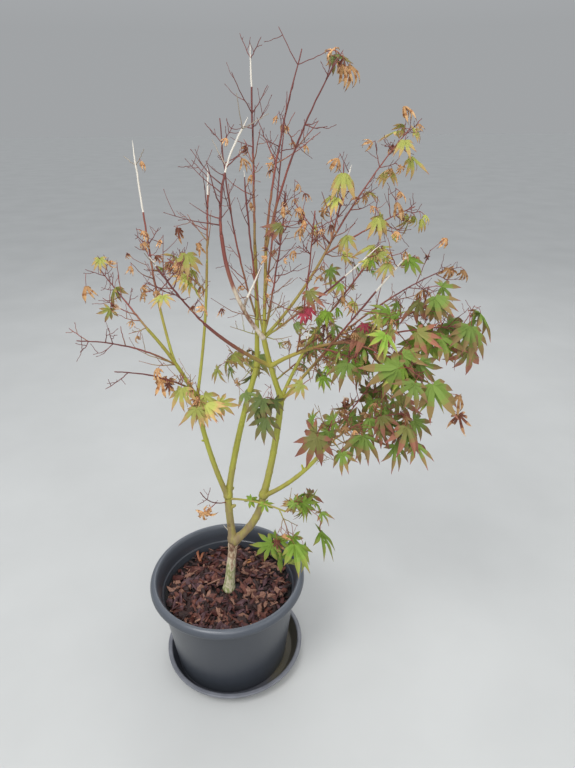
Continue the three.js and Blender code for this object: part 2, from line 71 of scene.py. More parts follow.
# Its generator of draws, its seeds' spacing and the seed of a stem's tip
PRIME, FACTOR, SEED_FACTOR, SEED_START = 2147483647, 48271, 7919, 101
SEED_ROOM, TIP_SEED = 1000, 999


def limb(place, way, girth):
    names = ("heading", "climb", "length", "turn", "lift")
    return {"from": place[0], "at": place[1], "girth": girth, **dict(zip(names, way))}


def mass(place, way, girth, twigs, leaves, seed):
    made = limb(place, way, (girth, STEM_TIP))
    made.update(zip(("pairs", "reach", "spread"), twigs))
    made.update(zip(("leaf", "share", "dry", "droop"), leaves))
    made["seed"] = seed
    return made


TRUNK = limb((None, 0), (-12, 83, 162, 0, 0), (26, 21))

# Limb and place on it; heading, climb, length, turn and lift on the way; girth at both ends
LIMBS = {
    "left_foot": limb(("trunk", 1), (131, 81, 128, 0, 8), (19, 17)),
    "right_foot": limb(("trunk", 1), (-7, 41, 166, 0, 40), (20, 17)),
    "left_stem": limb(("left_foot", 1), (-146, 72, 297, 0, 12), (13, 10)),
    "middle_stem": limb(("left_foot", 1), (41, 78, 327, 0, -12), (16, 12)),
    "centre_stem": limb(("right_foot", 1), (0, 76, 263, 0, 8), (17, 14)),
    "right_bough": limb(("right_foot", 1), (-30, 38, 245, 0, 22), (11, 8)),
    "low_bough": limb(("left_foot", 0.96), (-32, 22, 165, 0, -24), (5, 4)),
    "centre_limb": limb(("centre_stem", 1), (164, 70, 140, 0, 10), (12, 11)),
    "mid_limb": limb(("centre_stem", 1), (32, 62, 172, 0, -10), (8, 6)),
    "low_limb": limb(("centre_stem", 0.97), (-23, 53, 212, 0, 0), (7, 5)),
    "left_limb": limb(("centre_limb", 0.55), (-148, 33, 189, 0, 15), (9, 6)),
    "right_limb": limb(("centre_limb", 0.55), (-24, 37, 180, 0, -22), (9, 6)),
    "left_fork": limb(("left_stem", 1), (-162, 70, 181, 0, -14), (9, 6)),
    "left_leader": limb(("left_stem", 0.95), (61, 69, 292, 0, 14), (7, 5)),
    "left_tall": limb(("left_fork", 0.5), (127, 64, 134, 0, 10), (6, 5)),
    "red_curve": limb(("centre_limb", 1), (-150, 52, 238, 0, 35), (9, 7)),
    "centre_top": limb(("centre_limb", 1), (74, 79, 197, 0, 4), (8, 6)),
    "fan_limb": limb(("centre_limb", 1), (24, 41, 234, 0, 18), (7, 5)),
    "middle_top": limb(("middle_stem", 1), (83, 76, 272, 0, 18), (11, 7)),
}
# The same for a mass's stem; pairs of twigs, reach, spread; leaf size, share borne, share dry, droop; seed
MASS_ROWS = {
    "left_far": (("left_fork", 1), (132, 27, 163, 20, 20), 4.5, (3, 70, 55), (40, 0.24, 0.4, 65), 38),
    "left_side": (("left_fork", 0.45), (-143, 42, 216, 0, -28), 4, (3, 80, 50), (44, 0.1, 0.9, 50), 52),
    "left_low": (("left_fork", 0.1), (-133, 40, 196, 0, -20), 4, (2, 70, 50), (53, 0.4, 0.6, 61), 56),
    "left_collar": (("left_stem", 0.93), (-69, 51, 59, 0, -10), 3.5, (2, 40, 50), (58, 0.85, 0.1, 25), 7),
    "left_crown": (("left_tall", 1), (118, 75, 294, 0, 8), 4.5, (2, 60, 60), (44, 0.08, 0.9, 50), 26),
    "left_mid": (("left_leader", 0.8), (155, 39, 108, 0, -10), 3.5, (2, 60, 50), (50, 0.39, 0.4, 49), 14),
    "left_spire": (("left_leader", 1), (77, 77, 182, 0, 0), 4, (3, 80, 50), (44, 0.1, 0.9, 50), 27),
    "left_inner": (("left_limb", 1), (-142, 51, 173, 0, 10), 4, (3, 90, 50), (42, 0.12, 0.6, 50), 34),
    "red_top": (("red_curve", 1), (80, 92, 210, -115, -39), 5.5, (3, 90, 45), (44, 0.06, 0.9, 37), 48),
    "back_top": (("middle_top", 1), (87, 81, 371, 0, 8), 5.5, (4, 110, 45), (44, 0.12, 0.9, 50), 53),
    "tall_top": (("centre_top", 1), (22, 83, 338, 0, -12), 5, (4, 100, 45), (44, 0.1, 0.9, 50), 7),
    "inner_left": (("centre_limb", 1), (120, 73, 330, 0, 12), 4.5, (3, 80, 45), (44, 0.24, 0.9, 50), 58),
    "inner_right": (("centre_limb", 1), (-44, 73, 302, 0, 8), 4.5, (3, 80, 45), (38, 0.3, 0.9, 47), 43),
    "tall_right": (("centre_top", 0.9), (-35, 75, 361, 0, -20), 5, (3, 80, 45), (42, 0.16, 0.7, 32), 11),
    "inner_top": (("middle_top", 0.4), (-149, 73, 411, 0, 16), 4.5, (3, 80, 45), (38, 0.1, 0.9, 50), 27),
    "slim_top": (("centre_top", 0.4), (69, 67, 365, 0, 6), 4.5, (3, 90, 45), (38, 0.2, 0.9, 50), 35),
    "mid_fan": (("right_limb", 0.4), (-76, 63, 322, 0, 12), 4, (3, 80, 50), (38, 0.4, 0.7, 50), 5),
    "fan_inner": (("centre_limb", 1), (-23, 38, 313, 0, 8), 4, (3, 75, 50), (40, 0.31, 0.6, 47), 56),
    "fan_low": (("low_limb", 0.5), (-38, 53, 338, 0, 0), 4, (3, 75, 50), (40, 0.31, 0.6, 55), 16),
    "back_low": (("centre_limb", 0.3), (49, 14, 214, 0, 0), 4, (3, 70, 50), (50, 0.7, 0.2, 44), 37),
    "fan_top": (("fan_limb", 1), (36, 71, 158, 0, 0), 4, (3, 70, 50), (53, 0.65, 0.2, 48), 58),
    "upper_right": (("fan_limb", 0.85), (31, 56, 326, 0, -15), 4, (4, 75, 50), (46, 0.5, 0.4, 33), 32),
    "fan_right": (("fan_limb", 0.9), (-6, 34, 199, 0, -10), 4, (3, 70, 50), (57, 0.7, 0.3, 62), 56),
    "mid_right": (("mid_limb", 1), (-10, 53, 204, 0, 5), 4, (3, 80, 50), (44, 0.78, 0.5, 38), 25),
    "right_back": (("low_limb", 1), (32, 28, 308, 0, -20), 4, (4, 90, 50), (40, 0.15, 0.8, 63), 14),
    "cluster_top": (("right_limb", 0.85), (-8, 21, 209, 0, 10), 4, (3, 70, 50), (62, 1, 0.1, 24), 13),
    "cluster": (("right_limb", 1), (-1, 14, 246, 0, -12), 4.5, (4, 80, 55), (81, 1, 0.05, 56), 16),
    "cluster_low": (("right_limb", 1), (-42, 7, 180, 0, -30), 4, (3, 60, 55), (73, 0.8, 0, 41), 44),
    "right_inner": (("right_limb", 0.6), (-44, 17, 118, 0, -30), 4, (3, 60, 50), (60, 0.8, 0, 61), 49),
    "bough_tip": (("right_bough", 0.85), (-75, 58, 160, 0, 0), 4, (2, 50, 50), (66, 0.66, 0.1, 64), 49),
    "bough_top": (("right_bough", 1), (40, 43, 196, 0, -10), 4, (2, 60, 50), (73, 1, 0.05, 73), 23),
    "bough_right": (("right_bough", 1), (-15, 54, 185, 0, -40), 4.5, (4, 75, 55), (64, 1, 0.1, 41), 50),
    "low_spray": (("low_bough", 1), (-1, 22, 56, 0, -10), 3, (2, 50, 50), (55, 0.94, 0, 56), 22),
    "low_hang": (("low_bough", 0.9), (-60, -28, 64, 0, -30), 3, (2, 50, 50), (70, 1, 0, 67), 3),
    "foot_twig": (("left_foot", 0.9), (-128, 17, 119, 0, 50), 2.6, (1, 40, 60), (46, 0.28, 1, 80), 18),
    "centre_leaves": (("middle_stem", 0.97), (143, 22, 87, 0, 0), 3, (2, 50, 50), (54, 0.68, 0, 50), 48),
    "hanging": (("centre_stem", 0.88), (-122, 72, 81, 0, -50), 3, (1, 40, 50), (56, 0.35, 0, 70), 5),
}
MASSES = {name: mass(*row) for name, row in MASS_ROWS.items()}

# How each mass's leaves are tinted, in equal shares: yellow where it isn't named
TINTS = {
    "cluster": "fresh lush fresh bronze", "cluster_low": "lush fresh fresh",
    "cluster_top": "lush fresh bronze", "right_inner": "lush fresh fresh",
    "bough_right": "fresh bronze fresh", "bough_top": "fresh bronze fresh",
    "bough_tip": "bronze bronze fresh", "low_hang": "lush", "low_spray": "lush lush fresh",
    "centre_leaves": "dull yellow", "hanging": "dull", "right_back": "yellow fresh",
    "mid_right": "yellow lush fresh", "fan_low": "yellow lush", "back_low": "lush dull fresh",
    "fan_inner": "yellow fresh", "mid_fan": "bronze dull",
}
# The same for its dried leaves
DRIED = "dry dry withered"
DRIED_TINTS = {
    "mid_right": "dry yellow lush yellow", "fan_inner": "dry yellow yellow", "fan_right": "dry yellow",
    "fan_low": "dry yellow dry",
}
# How leafy the finer twigs of the masses are: bare where a mass isn't named
LEAFINESS = (
    (0.07, "left_far left_crown inner_left inner_right inner_top mid_fan fan_top upper_right"),
    (0.07, "low_hang right_inner"), (0.4, "fan_low"),
    (0.16, "left_mid left_inner left_low left_collar slim_top back_low fan_right fan_inner"),
    (0.16, "cluster cluster_top cluster_low bough_top bough_right low_spray centre_leaves"),
    (0.16, "mid_right hanging"),
)
LEAFY = {name: share for share, names in LEAFINESS for name in names.split()}
# Where each stem's bleached dead tip starts, as a share of its length
ALIVE = 2.0
DEAD_TIPS = {
    "back_top": 0.78, "left_crown": 0.54, "left_spire": 0.72, "fan_top": 0.7, "mid_right": 0.82,
    "red_top": 0.5, "fan_inner": 0.72, "fan_low": 0.72, "left_inner": 0.85, "inner_left": 0.93,
}
# The girth that a dead stem keeps, and how its last rings narrow
DEAD_GIRTH = 3.6
DEAD_TAPER = (0.9, 0.75, 0.5, 0.2)


def random(seed):
    """The rule's own draws from 0 to 1."""
    state = [(seed * SEED_FACTOR + SEED_START) % PRIME]

    def draw():
        state[0] = state[0] * FACTOR % PRIME
        return state[0] / PRIME

    draw()
    draw()
    return draw


def between(low, high, part):
    return low + (high - low) * part


def within(span, draw):
    """A value drawn within a span."""
    return between(*span, draw())


def stray(size, draw):
    """A drawn value round nought, from end to end of a size."""
    return size * (draw() - 0.5)


def stray_point(draw):
    return np.array([stray(1, draw) for _ in range(3)])


def norm(vector, axis=None):
    return np.linalg.norm(vector, axis=axis)


def unit(vector):
    return vector / norm(vector)


def squared(vector, way):
    """The unit vector square to a way that is nearest to a vector."""
    return unit(vector - way * (vector @ way))


def swing(first, second, turn):
    """From one vector towards a second, by a turn in radians."""
    return first * cos(turn) + second * sin(turn)


def bearing(heading, climb):
    turn, rise = radians(heading), radians(climb)
    return np.array([cos(rise) * cos(turn), cos(rise) * sin(turn), sin(rise)])


def limb_line(start, made, steps):
    line = [np.array(start, float)]
    for step in range(steps):
        part = (step + 0.5) / steps
        way = bearing(made["heading"] + made["turn"] * part, made["climb"] + made["lift"] * part)
        line.append(line[-1] + way * (made["length"] / steps))
    return np.array(line)


def twig_line(start, way, length, rise):
    line = [start]
    for step in range(TWIG_STEPS):
        bent = unit(way + UP * (rise * (step + 0.5) / TWIG_STEPS))
        line.append(line[-1] + bent * (length / TWIG_STEPS))
    return np.array(line)


def place_on(line, part):
    place = part * (len(line) - 1)
    step = min(int(place), len(line) - 2)
    return step, place - step


def point_at(line, part):
    step, rest = place_on(line, part)
    return line[step] + (line[step + 1] - line[step]) * rest


def way_at(line, part):
    step, _ = place_on(line, part)
    return unit(line[step + 1] - line[step])


def square_to(way, angle):
    side = unit(np.cross(way, UP if abs(way[2]) < STEEP else SIDEWAYS))
    return swing(side, np.cross(side, way), radians(angle))


def branch_way(way, angle, spread):
    return swing(way, square_to(way, angle), radians(spread))


def distances(points, line):
    run = line[1:] - line[:-1]
    reach = points[:, None, :] - line[None, :-1, :]
    part = np.clip((reach * run).sum(2) / (run * run).sum(1), 0, 1)
    return norm(reach - run * part[..., None], 2).min(1)


def limb_lines():
    lines = {"trunk": limb_line(TRUNK_FOOT, TRUNK, TRUNK_STEPS)}
    for name, made in LIMBS.items():
        lines[name] = limb_line(point_at(lines[made["from"]], made["at"]), made, LIMB_STEPS)
    return lines


LINES = limb_lines()
STEMS = {
    name: limb_line(point_at(LINES[made["from"]], made["at"]), made, STEM_STEPS)
    for name, made in MASSES.items()
}


def thickest(name):
    """The radius of a limb at its start."""
    return (TRUNK if name == "trunk" else LIMBS[name])["girth"][0] / 2


def keeps_clear(points, name, margin=LIMB_MARGIN, overlap=0.0):
    """True where every point lies in the mass's own space, or little outside it, and clear of the limbs."""
    points = np.array(points)
    own = distances(points, STEMS[name]) - overlap + SPACE_MARGIN
    crossed = any((distances(points, stem) < own).any() for other, stem in STEMS.items() if other != name)
    return not crossed and all((distances(points, line) >= thickest(other) + margin).all()
                               for other, line in LINES.items())


def crowds(leaf, others, share):
    """True where a leaf lies nearer to another than a share of its size."""
    return any(norm(other["middle"] - leaf["middle"]) < share * leaf["size"] for other in others)


def grow_leaf(line, part, side, made, draw):
    out = branch_way(way_at(line, part), side, LEAF_SPREAD)
    dry = draw() < made["dry"]
    size = made["leaf"] * within(LEAF_SIZE, draw) * (DRY_SIZE if dry else 1)
    heading = degrees(atan2(out[1], out[0])) + stray(HEADING_STRAY, draw)
    along = bearing(heading, -made["droop"] - stray(DROOP_STRAY, draw))
    face = squared(stray_point(draw) + LIGHT, along)
    held = point_at(line, part)
    root = held + along * (size * within(LEAF_STALK, draw))
    return {
        "held": held, "root": root, "middle": root + along * (size * LEAF_MIDDLE), "along": along,
        "face": face, "size": size, "dry": dry, "curl": DRY_CURL if dry else LEAF_CURL,
        "present": draw() < made["share"],
    }


def leaf_outline(leaf):
    across = np.cross(leaf["along"], leaf["face"])
    points = [leaf["root"]]
    for angle, share in CAD_LOBES:
        reach, turn = share * leaf["size"], radians(angle)
        point = leaf["root"] + leaf["along"] * (reach * cos(turn)) + across * (reach * sin(turn))
        points.append(point - leaf["face"] * (leaf["curl"] * leaf["size"] * share * share))
    return points


def pair_place(pair, made):
    """A pair of twigs' place on its stem."""
    return (pair + PAIR_PLACE) / made["pairs"]


def shortened(reach, place):
    """The reach of a twig, which is less the nearer it grows to its stem's tip."""
    return reach * (1 - TWIG_SHORTENING * place)


def grow_mass(name):
    """The part's own twigs and leaves."""
    made, stem = MASSES[name], STEMS[name]
    twigs, leaves = [], []

    def add_leaf(line, part, side, draw):
        leaf = grow_leaf(line, part, side, made, draw)
        wanted = leaf["present"] and not crowds(leaf, leaves, LEAF_ROOM)
        if wanted and keeps_clear(leaf_outline(leaf), name):
            leaves.append(leaf)

    turn = 360 * random(made["seed"])()
    for pair in range(made["pairs"]):
        for side in (0, 1):
            draw = random(made["seed"] * SEED_ROOM + pair * 2 + side)
            part = pair_place(pair, made)
            angle = turn + 90 * pair + 180 * side + stray(PAIR_STRAY, draw)
            way = branch_way(way_at(stem, part), angle, made["spread"] + stray(SPREAD_STRAY, draw))
            length = shortened(made["reach"], part) * within(TWIG_LENGTH, draw)
            line = twig_line(point_at(stem, part), way, length, TWIG_RISE * draw())
            if not keeps_clear(line[1:], name):
                continue
            twigs.append((line, between(made["girth"][0] * TWIG_ROOT, TWIG_GIRTH, part)))
            leaf_angle = 360 * draw()
            for node in LEAF_NODES:
                add_leaf(line, node, leaf_angle + 90 * node, draw)
                add_leaf(line, node, leaf_angle + 90 * node + 180, draw)
    tip_draw = random(made["seed"] * SEED_ROOM + TIP_SEED)
    tip_angle = 360 * tip_draw()
    for third in (0, 120, 240):
        add_leaf(stem, LEAF_NODES[1], tip_angle + third, tip_draw)
    return twigs, leaves


# Finer growth: slim twigs on the stem between the pairs, and side twigs on all twigs
FINE_SEED = 512
FINE_NODES = (0.35, 0.6, 0.82)
FINE_SHARE = 0.42
FINE_MARGIN, FINE_OVERLAP = 2.0, 24.0
FINE_SPREAD, FINE_RISE = (40, 85), (0.1, 1.0)
BETWEEN_PLACES = (0.05, 0.25, 0.42)
BETWEEN_SHARE = 0.6
BETWEEN_LENGTH = (0.4, 1.4)
FINE_LENGTH = (0.2, 0.65)
BETWEEN_GIRTH, FINE_GIRTH, HAIR_GIRTH, HAIR_TIP = 2.6, 1.9, 1.4, 0.9
FINE_LEAF = (0.8, 1.05)
FINE_ROOM = 0.4
FINE_DROOP, FINE_DRY = 0.6, 0.12
LEAF_PLACES = (0.4, 0.7, 1.0)
# The share of the finer twigs that the barer masses keep
SPARSE = {
    "low_spray": 0.35, "low_hang": 0.35, "foot_twig": 0.35, "hanging": 0.35, "centre_leaves": 0.35,
    "left_collar": 0.35, "red_top": 0.5, "back_top": 0.5, "tall_top": 0.45, "tall_right": 0.45,
    "left_spire": 0.5, "left_side": 0.6,
}


class FineGrowth:
    """One mass's finer twigs, each with its girth and its place on the stem, and the leaves on them."""

    def __init__(self, name, twigs, leaves):
        made = MASSES[name]
        self.name, self.made, self.own_leaves = name, made, leaves
        self.loose = {**made, "droop": made["droop"] * FINE_DROOP, "dry": made["dry"] + FINE_DRY}
        self.draw = random(made["seed"] * SEED_ROOM + FINE_SEED)
        self.parents = [(line, pair_place(index // 2, made)) for index, (line, _) in enumerate(twigs)]
        self.twigs, self.leaves = [], []
        self.add_between()
        self.add_hairs()
        self.add_leaves()

    def has_room(self, points):
        return keeps_clear(points, self.name, FINE_MARGIN, FINE_OVERLAP)

    def wants_twig(self, share):
        """Draws whether a twig grows, which is rarer in the barer masses."""
        return self.draw() < share * SPARSE.get(self.name, 1)

    def add_twig(self, line, part, angle, length, girth, place):
        """Adds a twig where it has room and its stem lives; true where it does."""
        way = branch_way(way_at(line, part), angle, within(FINE_SPREAD, self.draw))
        new = twig_line(point_at(line, part), way, length, within(FINE_RISE, self.draw))
        grown = place < DEAD_TIPS.get(self.name, ALIVE) and self.has_room(new[1:])
        if grown:
            self.twigs.append((new, girth, place))
        return grown

    def add_between(self):
        """Slim twigs on the stem, between the pairs."""
        pairs, stem = self.made["pairs"], STEMS[self.name]
        for place in [(pair + step) / pairs for pair in range(pairs) for step in BETWEEN_PLACES]:
            girth = between(BETWEEN_GIRTH, FINE_GIRTH, place)
            for side in (0, 180):
                wanted = self.wants_twig(BETWEEN_SHARE)
                length = shortened(self.made["reach"], place) * within(BETWEEN_LENGTH, self.draw)
                if wanted and self.add_twig(stem, place, 360 * self.draw() + side, length, girth, place):
                    self.parents.append((self.twigs[-1][0], place))

    def add_hairs(self):
        """Side twigs on all twigs, with a leaf at the tip of some."""
        for line, place in self.parents:
            length = norm(line[-1] - line[0])
            for node in FINE_NODES:
                turn = 360 * self.draw()
                for side in (0, 180):
                    wanted = self.wants_twig(FINE_SHARE)
                    reach = length * within(FINE_LENGTH, self.draw)
                    if wanted and self.add_twig(line, node, turn + side, reach, HAIR_GIRTH, place):
                        self.add_leaf(self.twigs[-1][0], 1, 360 * self.draw())

    def add_leaves(self):
        for line, _ in self.parents:
            for node in LEAF_PLACES:
                turn = 360 * self.draw()
                self.add_leaf(line, node, turn)
                self.add_leaf(line, node, turn + 180)

    def add_leaf(self, line, part, side):
        leaf = grow_leaf(line, part, side, self.loose, self.draw)
        leaf["size"] *= within(FINE_LEAF, self.draw)
        wanted = self.draw() < LEAFY.get(self.name, 0)
        free = not crowds(leaf, self.own_leaves + self.leaves, FINE_ROOM)
        if wanted and free and self.has_room([leaf["middle"]]):
            self.leaves.append(leaf)


def add_object(name, data):
    made = bpy.data.objects.new(name, data)
    bpy.context.scene.collection.objects.link(made)
    return made


class Pile:
    """A joined mesh that grows part by part."""

    def __init__(self, name, slots):
        self.name, self.slots = name, slots
        self.points, self.faces, self.marks, self.count = [], [], [], 0

    def add(self, points, faces, mark):
        self.points.append(points)
        self.faces.extend([tuple(corner + self.count for corner in face) for face in faces])
        self.marks.extend([mark] * len(faces) if isinstance(mark, int) else mark)
        self.count += len(points)

    def make(self, smooth=True):
        mesh = bpy.data.meshes.new(self.name)
        mesh.from_pydata((np.vstack(self.points) * METRE).tolist(), [], self.faces)
        for material in self.slots:
            mesh.materials.append(material)
        mesh.polygons.foreach_set("material_index", self.marks)
        mesh.polygons.foreach_set("use_smooth", [smooth] * len(self.faces))
        mesh.update()
        piece = add_object(self.name, mesh)
        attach(piece, "root")
        return piece


def smooth_line(line, steps):
    """A curve through the line's points, with a number of steps to each stretch."""
    line = np.array(line, float)
    ends = np.vstack([2 * line[0] - line[1], line, 2 * line[-1] - line[-2]])
    out = []
    for a, b, c, d in zip(ends, ends[1:], ends[2:], ends[3:]):
        for step in range(steps):
            t = step / steps
            out.append(0.5 * ((2 * b) + (c - a) * t + (2 * a - 5 * b + 4 * c - d) * t * t
                              + (3 * b - a - 3 * c + d) * t ** 3))
    out.append(line[-1])
    return np.array(out)


def frames_along(line):
    """A way and two square directions at each point, without twisting."""
    ways = np.gradient(line, axis=0)
    ways /= norm(ways, 1)[:, None]
    sides = [square_to(ways[0], 0)]
    for way in ways[1:]:
        sides.append(squared(sides[-1], way))
    sides = np.array(sides)
    return ways, sides, np.cross(sides, ways)


def around(count):
    """Even turns round a circle."""
    return np.linspace(0, 2 * pi, count, endpoint=False)


def closed_faces(rings, sides):
    """Faces from ring to ring, and then both ends' fans, whose middles are the last two points."""
    faces, last = [], (rings - 1) * sides
    for low in range(0, last, sides):
        for side in range(sides):
            after = (side + 1) % sides
            faces.append((low + side, low + after, low + sides + after, low + sides + side))
    for side in range(sides):
        after = (side + 1) % sides
        faces.append((after, side, rings * sides))
        faces.append((last + side, last + after, rings * sides + 1))
    return faces


def tube(line, radii, sides, relief=0.0):
    """A closed round bar, with a relief added to its radius at each ring and turn."""
    ways, right, top = frames_along(line)
    turns = around(sides)
    reach = np.array(radii)[:, None] * np.ones(sides)[None, :] + relief
    ring = right[:, None, :] * np.cos(turns)[None, :, None] + top[:, None, :] * np.sin(turns)[None, :, None]
    points = (line[:, None, :] + ring * reach[..., None]).reshape(-1, 3)
    cap = line[-1] + ways[-1] * radii[-1]
    return np.vstack([points, line[0], cap]), closed_faces(len(line), sides)


# Materials: the usual curve from screen values to light, the noise's part of a ramp and its detail
CURVE_FOOT, FOOT_SLOPE, CURVE_SHIFT, CURVE_POWER = 0.04045, 12.92, 0.055, 2.4
RAMP_SPAN = (0.32, 0.68)
NOISE_DETAIL, GRAIN_DETAIL, BUMP_DEPTH = 4, 5, 0.001
GRADE_WANDER = 0.5
# Roughness, size and stretch of the noise, and strength and size of the bump
EVEN, DRAWN_OUT = (1, 1, 1), (1, 1, 0.3)
POT_GRAIN = (0.3, 0.05, EVEN, 0.12, 0.0012)
SAUCER_GRAIN = (0.36, 0.04, EVEN, 0.12, 0.0012)
SHADE_AND_GRIME_GRAIN = (0.6, 0.02, EVEN, 0.3, 0.002)
CHIP_GRAIN = (0.6, 0.006, EVEN, 0.6, 0.0012)
TRUNK_GRAIN = (0.85, 0.009, DRAWN_OUT, 0.9, 0.0018)
SHOOT_GRAIN = (0.55, 0.012, DRAWN_OUT, 0.3, 0.0015)
FLOOR_GRAIN = (0.85, 0.4)
TWIG_ROUGH, LEAF_ROUGH, LEAF_GLOSS = 0.6, 0.62, 0.3


def colour(code):
    """Linear colour from a hex code."""
    parts = [int(code[i:i + 2], 16) / 255 for i in (1, 3, 5)]
    return tuple(
        part / FOOT_SLOPE if part <= CURVE_FOOT
        else ((part + CURVE_SHIFT) / (1 + CURVE_SHIFT)) ** CURVE_POWER
        for part in parts
    )


def base_material(name, code, rough):
    material = bpy.data.materials.new(name)
    material.use_nodes = True
    shader = material.node_tree.nodes["Principled BSDF"]
    shader.inputs["Base Color"].default_value = (*colour(code), 1)
    shader.inputs["Roughness"].default_value = rough
    return material


def add_node(tree, kind, **inputs):
    """A new node, with the named inputs set."""
    node = tree.nodes.new("ShaderNode" + kind)
    for name, value in inputs.items():
        node.inputs[name.replace("_", " ")].default_value = value
    return node


def wire(tree, *rows):
    """Links an output of one node to an input of the next."""
    for node, out, after, into in rows:
        tree.links.new(node.outputs[out], after.inputs[into])


def mottled(name, codes, rough, size, stretch=EVEN, bump=0.0, bump_size=1.0):
    """A material whose colour wanders between the codes with stretched noise."""
    material = base_material(name, codes[0], rough)
    tree = material.node_tree
    place, spread = add_node(tree, "TexCoord"), add_node(tree, "Mapping", Scale=stretch)
    noise = add_node(tree, "TexNoise", Scale=1 / size, Detail=NOISE_DETAIL)
    ramp, shader = add_node(tree, "ValToRGB"), tree.nodes["Principled BSDF"]
    elements = ramp.color_ramp.elements
    while len(elements) < len(codes):
        elements.new(0.5)
    for index, code in enumerate(codes):
        elements[index].position = between(*RAMP_SPAN, index / (len(codes) - 1))
        elements[index].color = (*colour(code), 1)
    wire(tree, (place, "Object", spread, "Vector"), (spread, "Vector", noise, "Vector"),
         (noise, "Fac", ramp, "Fac"), (ramp, "Color", shader, "Base Color"))
    if bump:
        grain = add_node(tree, "TexNoise", Scale=1 / bump_size, Detail=GRAIN_DETAIL)
        raised = add_node(tree, "Bump", Strength=bump, Distance=BUMP_DEPTH)
        wire(tree, (spread, "Vector", grain, "Vector"), (grain, "Fac", raised, "Height"),
             (raised, "Normal", shader, "Normal"))
    return material


def graded(name, axis, span, codes, grain, wander=GRADE_WANDER):
    """A mottled material whose colour also changes along one axis, over a span in metres."""
    material = mottled(name, codes, *grain)
    tree = material.node_tree
    by_type = {node.type: node for node in tree.nodes}
    place, ramp = by_type["TEX_COORD"], by_type["VALTORGB"]
    noise = ramp.inputs["Fac"].links[0].from_node
    for index, element in enumerate(ramp.color_ramp.elements):
        element.position = index / (len(codes) - 1)
    parts, swayed, total = (add_node(tree, kind) for kind in ("SeparateXYZ", "Math", "Math"))
    along = add_node(tree, "MapRange", From_Min=span[0], From_Max=span[1])
    swayed.operation, total.operation = "MULTIPLY_ADD", "ADD"
    swayed.inputs[1].default_value, swayed.inputs[2].default_value = wander, -wander / 2
    wire(tree, (place, "Object", parts, "Vector"), (parts, axis, along, "Value"), (noise, "Fac", swayed, 0),
         (along, "Result", total, 0), (swayed, "Value", total, 1), (total, "Value", ramp, "Fac"))
    return material


# Pot and saucer
SAUCER_RADIUS, SAUCER_HEIGHT, SAUCER_FLOOR, SAUCER_LIP = 180.0, 36.0, 4.0, 10.0
SAUCER_SHIFT = (8.7, 0.3)
POT_HEIGHT, POT_RADIUS, POT_FOOT_RADIUS, POT_NECK_RADIUS = 271.0, 195.0, 143.0, 174.0
POT_BAND, POT_WALL, POT_FLOOR = 22.0, 4.0, 5.0
POT_ROUNDING, SAUCER_ROUNDING = 7, 3.5
TURN_STEPS, ROUND_STEPS = 160, 4
# The most of a side that a rounded corner takes
CORNER_SHARE = 0.45


def rounded(profile, radius):
    """Rounds each inner corner of a profile."""
    profile = [np.array(point, float) for point in profile]
    out = [profile[0]]
    for before, corner, after in zip(profile, profile[1:], profile[2:]):
        back, ahead = before - corner, after - corner
        room = min(radius, norm(back) * CORNER_SHARE, norm(ahead) * CORNER_SHARE)
        start, end = corner + unit(back) * room, corner + unit(ahead) * room
        for step in range(ROUND_STEPS + 1):
            t = step / ROUND_STEPS
            out.append(start * (1 - t) ** 2 + corner * 2 * t * (1 - t) + end * t * t)
    out.append(profile[-1])
    return out


def turned(name, slots, profile, shade_and_grime_radius=0.0, shift=(0, 0)):
    """A piece turned round an axis from a profile of radius and height, its top within a radius given the
    second material: painted shade and dirt in the saucer.
    """
    inner = profile[1:-1]
    turns = around(TURN_STEPS)
    points = [(shift[0] + r * cos(turn), shift[1] + r * sin(turn), z) for r, z in inner for turn in turns]
    points += [(*shift, profile[0][1]), (*shift, profile[-1][1])]
    marks = [int(r < shade_and_grime_radius and z > GAP) for r, z in inner[:-1] for _ in range(TURN_STEPS)]
    marks += [0, int(shade_and_grime_radius > 0)] * TURN_STEPS
    pile = Pile(name, slots)
    pile.add(np.array(points), closed_faces(len(inner), TURN_STEPS), marks)
    return pile.make()


def make_pot(plastic):
    foot, neck = SAUCER_FLOOR + GAP, POT_HEIGHT - POT_BAND
    inner = POT_NECK_RADIUS - POT_WALL
    profile = rounded([
        (0, foot), (POT_FOOT_RADIUS, foot), (POT_FOOT_RADIUS + 2, foot + 4),
        (POT_NECK_RADIUS - 3, neck - 22), (POT_NECK_RADIUS - 1.2, neck - 21), (POT_NECK_RADIUS, neck + 1),
        (POT_RADIUS - 3, neck), (POT_RADIUS, neck + 5), (POT_RADIUS, POT_HEIGHT - 12),
        (POT_RADIUS - 3, POT_HEIGHT - 4), (POT_RADIUS - 9, POT_HEIGHT), (POT_RADIUS - 14, POT_HEIGHT),
        (POT_RADIUS - 18, POT_HEIGHT - 6), (inner + 1, neck - 2), (inner - 2, neck - 22),
        (inner - 5, neck - 24), (POT_FOOT_RADIUS - POT_WALL, foot + POT_FLOOR), (0, foot + POT_FLOOR),
    ], POT_ROUNDING)
    piece = turned("pot_shell", [plastic], profile)
    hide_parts("pot")


def make_saucer(plastic, shade_and_grime):
    inner = SAUCER_RADIUS - SAUCER_LIP
    profile = rounded([
        (0, 0), (SAUCER_RADIUS - 22, 0), (SAUCER_RADIUS - 5, SAUCER_HEIGHT - 7),
        (SAUCER_RADIUS, SAUCER_HEIGHT - 6), (SAUCER_RADIUS, SAUCER_HEIGHT), (inner, SAUCER_HEIGHT),
        (inner - 3, SAUCER_HEIGHT - 5), (inner - 17, SAUCER_FLOOR), (0, SAUCER_FLOOR),
    ], SAUCER_ROUNDING)
    # Within its lip the dish takes the second material: painted shade and dirt
    piece = turned("saucer_dish", [plastic, shade_and_grime], profile, inner - 1, SAUCER_SHIFT)
    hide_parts("saucer")


# The bed of mix and the bark chips on it
BED_RADIUS, BED_SINK = 163.0, 1
BED_RINGS, BED_TURNS = 24, 72
